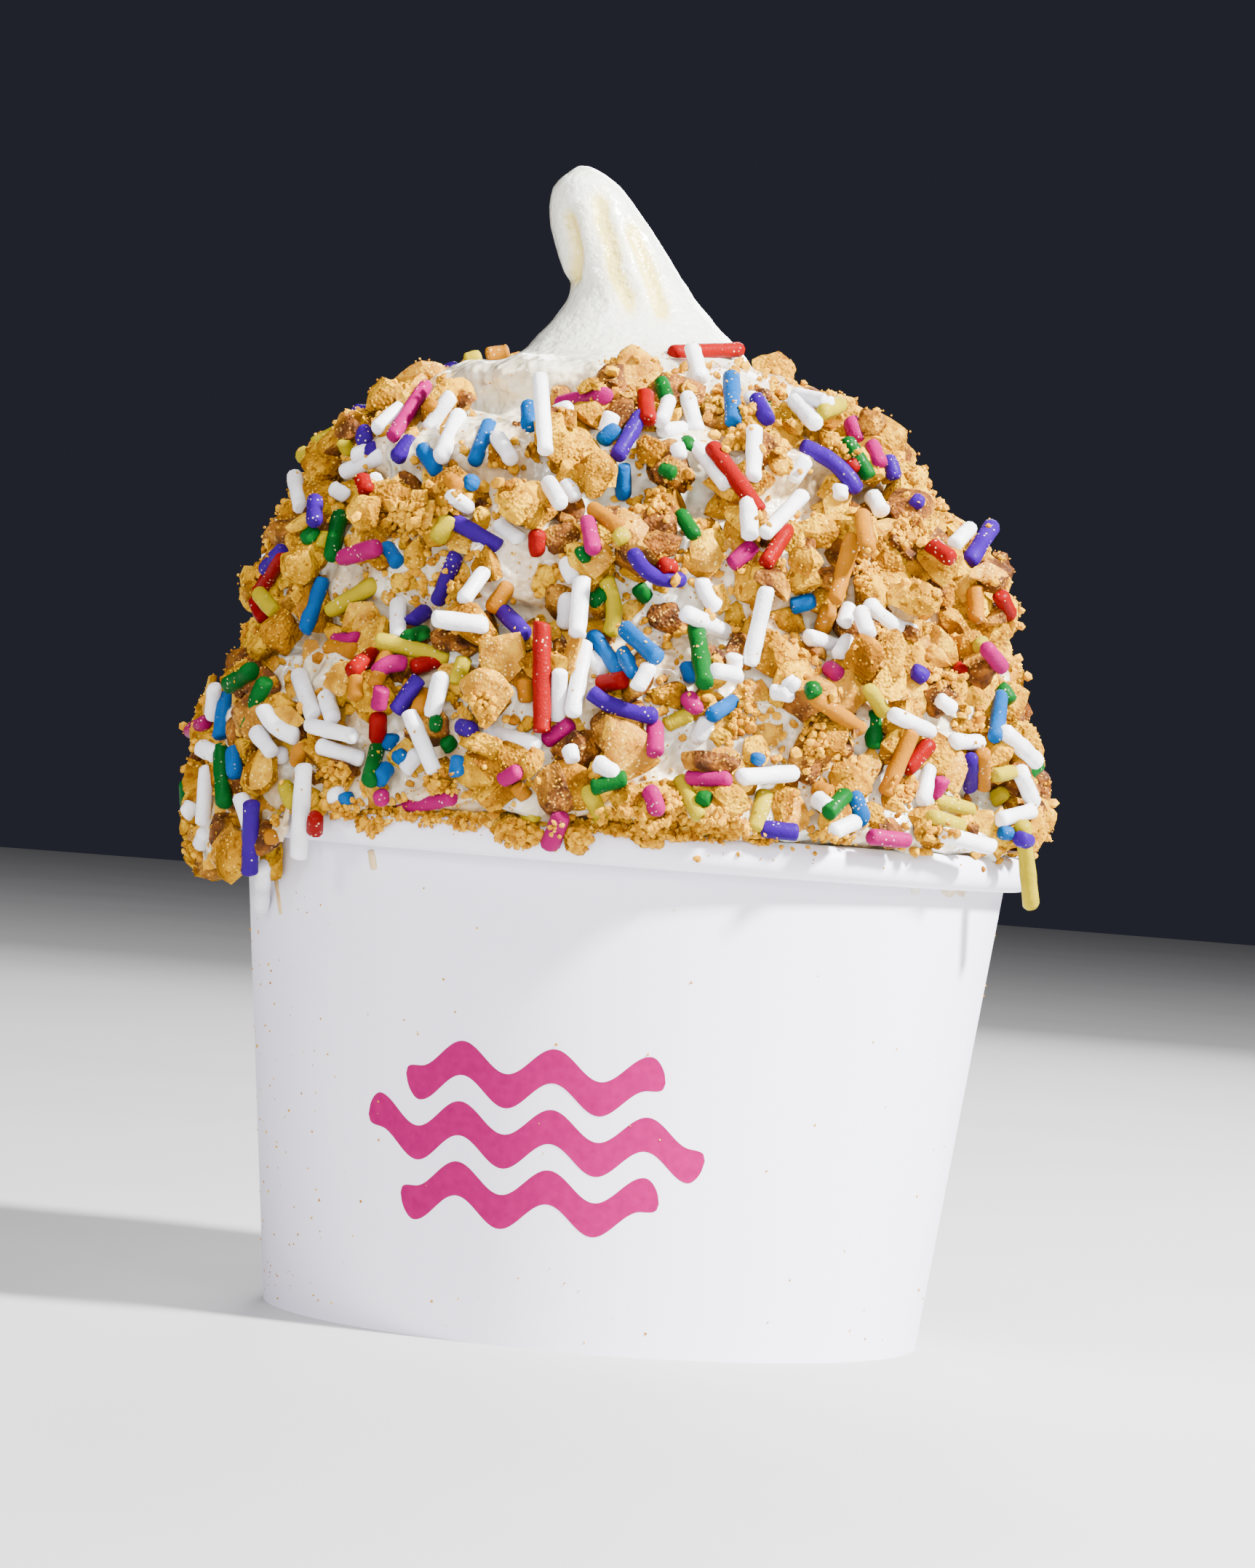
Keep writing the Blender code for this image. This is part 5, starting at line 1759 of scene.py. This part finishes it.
# Grains on the outside of the wall, and the crust of them along the front of the rim. Angles are
# in degrees: azimuths as (middle, spread), and angles round the rim's roll.
WALL_GRAINS, CRUST_GRAINS = 190, 2600
WALL_AZIMUTH, WALL_RANGE, CRUST_AZIMUTH = (205, 14), (150, 400), (257, 13)
WALL_GRAIN_SIZES, CRUST_SIZES = (0.00018, 0.00048), (0.0003, 0.0006, 0.0014)
WALL_GRAINS_UP_TO, WALL_GRAINS_FROM = 0.050, 0.001
WALL_GRAINS_AT_LEFT = 0.5  # the share of them below the droop
WALL_GRAINS_DOWNWARDS = 1.3  # over 1 for more of them low down
CRUST_TOP, CRUST_SIDE, CRUST_HANG = 115, 62, 55
CRUST_PATCHES, CRUST_FULLNESS, CRUST_DEPTH = 0.0045, 0.35, 0.0007
CRUST_UPWARDS = 0.8  # under 1 for more of them high up


def make_cup(paint):
    """The rolled sheet as the solid has it, but round: over the rim's curl and round the hem."""
    angles = np.linspace(math.pi, CURL_END, CURL_STEPS + 1)
    over = [oval_point(angle, 0.0) for angle in angles]
    under = [oval_point(angle, -PAPER) for angle in angles[::-1]]
    leg = wall_inside(0) - HEM_SLOT
    slope = wall_radius(HEM_HEIGHT) - wall_radius(0)
    hem = [
        (wall_radius(0), 0.0),
        (leg - PAPER, 0.0),
        (leg - PAPER + slope, HEM_HEIGHT),
        (leg + slope, HEM_HEIGHT),
        (leg, PAPER),
        (wall_inside(PAPER), PAPER),
    ]
    profile = over + under + hem
    azimuth = np.linspace(0, math.tau, CUP_COLUMNS, endpoint=False)
    azimuth = np.sort(np.append(azimuth, (SEAM_AZIMUTH - SEAM_STEP, SEAM_AZIMUTH)))
    past = azimuth - SEAM_AZIMUTH
    lift = np.where(past > -1e-9, SEAM_RELIEF * np.clip(1 - past / SEAM_WIDTH, 0.0, 1.0), 0.0)
    rows = []
    for radius, height in profile:
        on_wall = abs(radius - wall_radius(height)) < PAPER / 4
        outer = on_wall and height < CUP_HEIGHT - CURL_HEIGHT / 2 + 1e-6
        rows.append(polar(azimuth, radius + (lift if outer else 0.0), height))
    points = np.concatenate(rows)
    columns = len(azimuth)
    faces = grid_faces(len(rows), columns).tolist()
    last = (len(rows) - 1) * columns
    for k in range(columns):
        after = (k + 1) % columns
        faces.append((last + k, last + after, after, k))
    piece = add_piece("paper_cup", points, faces, paint, "cup_paper")
    piece.data.flip_normals()
    piece.data.set_sharp_from_angle(angle=CUP_SHARP)
    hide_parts("cup_wall")
    return points, faces


def make_print(paint):
    heap = Heap()
    index = np.arange(WAVE_ROWS * WAVE_COLUMNS).reshape(WAVE_ROWS, WAVE_COLUMNS)
    corners = [index[:-1, :-1], index[:-1, 1:], index[1:, 1:], index[1:, :-1]]
    quads = np.stack(corners, axis=-1).reshape(-1, 4)
    for height, length in zip(WAVE_HEIGHTS, WAVE_LENGTHS):
        along = np.linspace(-length / 2, length / 2, WAVE_COLUMNS)
        end = np.minimum(1.0, (length / 2 - np.abs(along)) / (WAVE_WIDTH / 2))
        wide = WAVE_WIDTH / 2 * np.sqrt(np.maximum(0.0, 1 - (1 - end) ** 2))
        crest = height + WAVE_SWING * np.sin(math.tau * along / WAVE_PITCH)
        across = np.linspace(-1, 1, WAVE_ROWS)[:, None]
        level = crest + across * wide
        azimuth = WAVE_MIDDLE + along / wall_radius(height) + 0 * level
        points = polar(azimuth, wall_radius(level) + INK_LIFT, level)
        heap.add(points.reshape(-1, 3), quads)
    add_piece("printed_waves", *heap.mesh(), paint, "cup_paper")


def crumbs_on_cup(rng, ball):
    """Grains stuck to the outside of the wall, and a crust of them along the front of the rim."""
    count = WALL_GRAINS
    azimuth = np.radians(np.where(
        rng.random(count) < WALL_GRAINS_AT_LEFT,
        rng.normal(*WALL_AZIMUTH, count), rng.uniform(*WALL_RANGE, count),
    ))
    height = WALL_GRAINS_UP_TO * rng.random(count) ** WALL_GRAINS_DOWNWARDS + WALL_GRAINS_FROM
    wall = polar(azimuth, wall_radius(height), height)
    wall_sizes = rng.uniform(*WALL_GRAIN_SIZES, count)
    count = CRUST_GRAINS
    azimuth = np.radians(rng.normal(*CRUST_AZIMUTH, count))
    patchy = bumps(polar(azimuth, RIM_DIAMETER / 2, CUP_HEIGHT), CRUST_PATCHES)
    lowest = CRUST_SIDE - CRUST_HANG * np.clip(patchy + CRUST_FULLNESS, 0.0, 1.0)
    angle = np.radians(lowest + (CRUST_TOP - lowest) * rng.random(count) ** CRUST_UPWARDS)
    rim = polar(azimuth, *oval_point(angle, rng.random(count) ** 2 * CRUST_DEPTH))
    sizes = np.concatenate([wall_sizes, rng.triangular(*CRUST_SIZES, count)])
    return grains(np.concatenate([wall, rim]), sizes, ball, rng)


# ------------------------------------------------------- stage and lighting


# Each lamp's place, size, power and colour. All of them look at the middle of the cup.
LAMPS = {
    "key": ((0.656, -0.349, 0.730), 0.13, 80, (0.985, 0.985, 1.0)),
    "front": ((-0.08, -0.87, 0.29), 0.50, 5.2, (0.97, 0.94, 1.0)),
    "left": ((-0.70, -0.40, 0.30), 0.40, 1.7, (0.95, 0.91, 1.0)),
    "glint_left": ((-0.46, -0.50, 0.36), 0.12, 2.0, (0.97, 0.94, 1.0)),
    "glint_right": ((0.24, -0.64, 0.36), 0.10, 1.4, (0.97, 0.94, 1.0)),
    "top": ((-0.22, -0.18, 0.82), 0.40, 4.5, (1.0, 0.98, 0.97)),
    "rim": ((0.16, 0.80, 0.42), 0.50, 7.5, (0.98, 0.98, 1.0)),
}
LAMPS_LOOK_AT = (0, 0, 0.06)
FLOOR_RINGS, FLOOR_SIDES = (0.05, 0.2, 0.8, 2.5), 96


def add_light(name, place, size, power, colour):
    lamp = bpy.data.lights.new(name, "AREA")
    lamp.shape = "DISK"
    lamp.size = size
    lamp.energy = power
    lamp.color = colour
    light = bpy.data.objects.new(name, lamp)
    light.location = place
    way = Vector(LAMPS_LOOK_AT) - Vector(place)
    light.rotation_euler = way.to_track_quat("-Z", "Y").to_euler()
    bpy.context.scene.collection.objects.link(light)


def set_stage():
    world = bpy.data.worlds.new("studio")
    world.use_nodes = True
    background = world.node_tree.nodes["Background"]
    background.inputs["Color"].default_value = (0.020, 0.021, 0.031, 1.0)
    background.inputs["Strength"].default_value = 1.0
    bpy.context.scene.world = world
    for name, lamp in LAMPS.items():
        add_light(name, *lamp)

    azimuth = np.linspace(0, math.tau, FLOOR_SIDES, endpoint=False)
    rows = [polar(azimuth, radius, 0.0) for radius in FLOOR_RINGS]
    middle = len(rows) * FLOOR_SIDES
    faces = grid_faces(len(rows), FLOOR_SIDES)[:, ::-1].tolist()
    faces += [(k, (k + 1) % FLOOR_SIDES, middle) for k in range(FLOOR_SIDES)]
    points = np.concatenate(rows + [[(0, 0, 0)]])
    floor = new_object("floor", points, faces, floor_paint())

    lens = bpy.data.cameras.new("camera")
    lens.sensor_width = SENSOR
    lens.lens = SENSOR * CAMERA_DISTANCE / (PHOTO_SIZE[1] / PHOTO_SCALE)
    lens.clip_start = 0.01
    camera = bpy.data.objects.new("camera", lens)
    camera.location = CAMERA
    camera.rotation_euler = (math.pi / 2, -ROLL, 0)
    bpy.context.scene.collection.objects.link(camera)
    bpy.context.scene.camera = camera


def main():
    for obj in list(bpy.data.objects):
        bpy.data.objects.remove(obj)
    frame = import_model()
    set_stage()

    paper = paper_paint()
    bottom = frame["nodes"]["cup_bottom"]
    bottom.data.materials.clear()
    bottom.data.materials.append(paper)
    cup = make_cup(paper)
    make_print(ink_paint())

    rng = np.random.default_rng(SEED)
    cream, place, quads = make_cream(cream_paint())
    ground, skin, seen = Ground(), Skin(), Seen()
    ground.add(place, quads, "cream")
    ground.add(*cup, "cup")

    make_drips_and_shadow_smear(ground, drip_and_shadow_paint(), rng)

    chunk_heaps = {kind: Heap() for kind in PIECE_NAMES}
    lay_chunks(
        ground, skin, seen, chunk_heaps, rng, steps=CHUNK_STEPS, passes=CHUNK_PASSES,
        count=CHUNKS_PER_PASS, sizes=CHUNK_SIZES, on_top=False,
    )
    lay_seen_chunks(ground, chunk_heaps, rng)
    sugar_heaps = {name: Heap() for name in SUGAR}
    lines = lay_seen_rods(ground, SEEN_RODS, 1, sugar_heaps, rng)
    lay_seen_rods(ground, BEHIND_RODS, -1, sugar_heaps, rng)
    seen.keep_rods(lines)
    lay_rods(ground, skin, seen, sugar_heaps, rng)
    ground.add(raise_cream(cream, place, quads, ground.stuck()), quads, "cream")
    lay_chunks(
        ground, skin, seen, chunk_heaps, rng, steps=BIT_STEPS, passes=BIT_PASSES,
        count=BITS_PER_PASS, sizes=BIT_SIZES, on_top=True,
    )
    for name, heap in sugar_heaps.items():
        add_piece("sprinkles_" + name, *heap.mesh(), sugar_paint(name, SUGAR[name][0]))
    paints = {COOKIE: cookie_paint(), TOASTED: toasted_paint(), FLAKE: flake_paint()}
    for kind, heap in chunk_heaps.items():
        piece = add_piece(PIECE_NAMES[kind], *heap.mesh(), paints[kind])
        add_values(piece, "toast", heap.all_values())
        piece.data.set_sharp_from_angle(angle=CHUNK_SHARP)

    stuck = ground.stuck()
    crumbs = Heap()
    crumbs.add(*drop_grains(
        ground, stuck, skin, seen, rng, count=CRUMBS, sizes=CRUMB_SIZES, ball=geodesic(1),
        shares=(0.14, 0.02), bare=0.05, open_cream=0.08,
    ))
    crumbs.add(*lay_sandy(ground, geodesic(1), rng))
    ground.add(*crumbs.mesh(), "crumb")
    paint = crumb_paint("crumbs", (0.74, 0.41, 0.016), 0.45)
    add_piece("crumbs", *crumbs.mesh(), paint).data.shade_flat()
    dust = Heap()
    dust.add(*drop_grains(
        ground, stuck, skin, seen, rng, count=DUST, sizes=DUST_SIZES, ball=OCTAHEDRON,
        shares=(0.50, 0.20), bare=0.10, open_cream=0.25,
    ))
    dust.add(*crumbs_on_cup(rng, OCTAHEDRON))
    paint = crumb_paint("crumb_dust", (0.86, 0.60, 0.09), 0.3)
    add_piece("crumb_dust", *dust.mesh(), paint).data.shade_flat()


main()
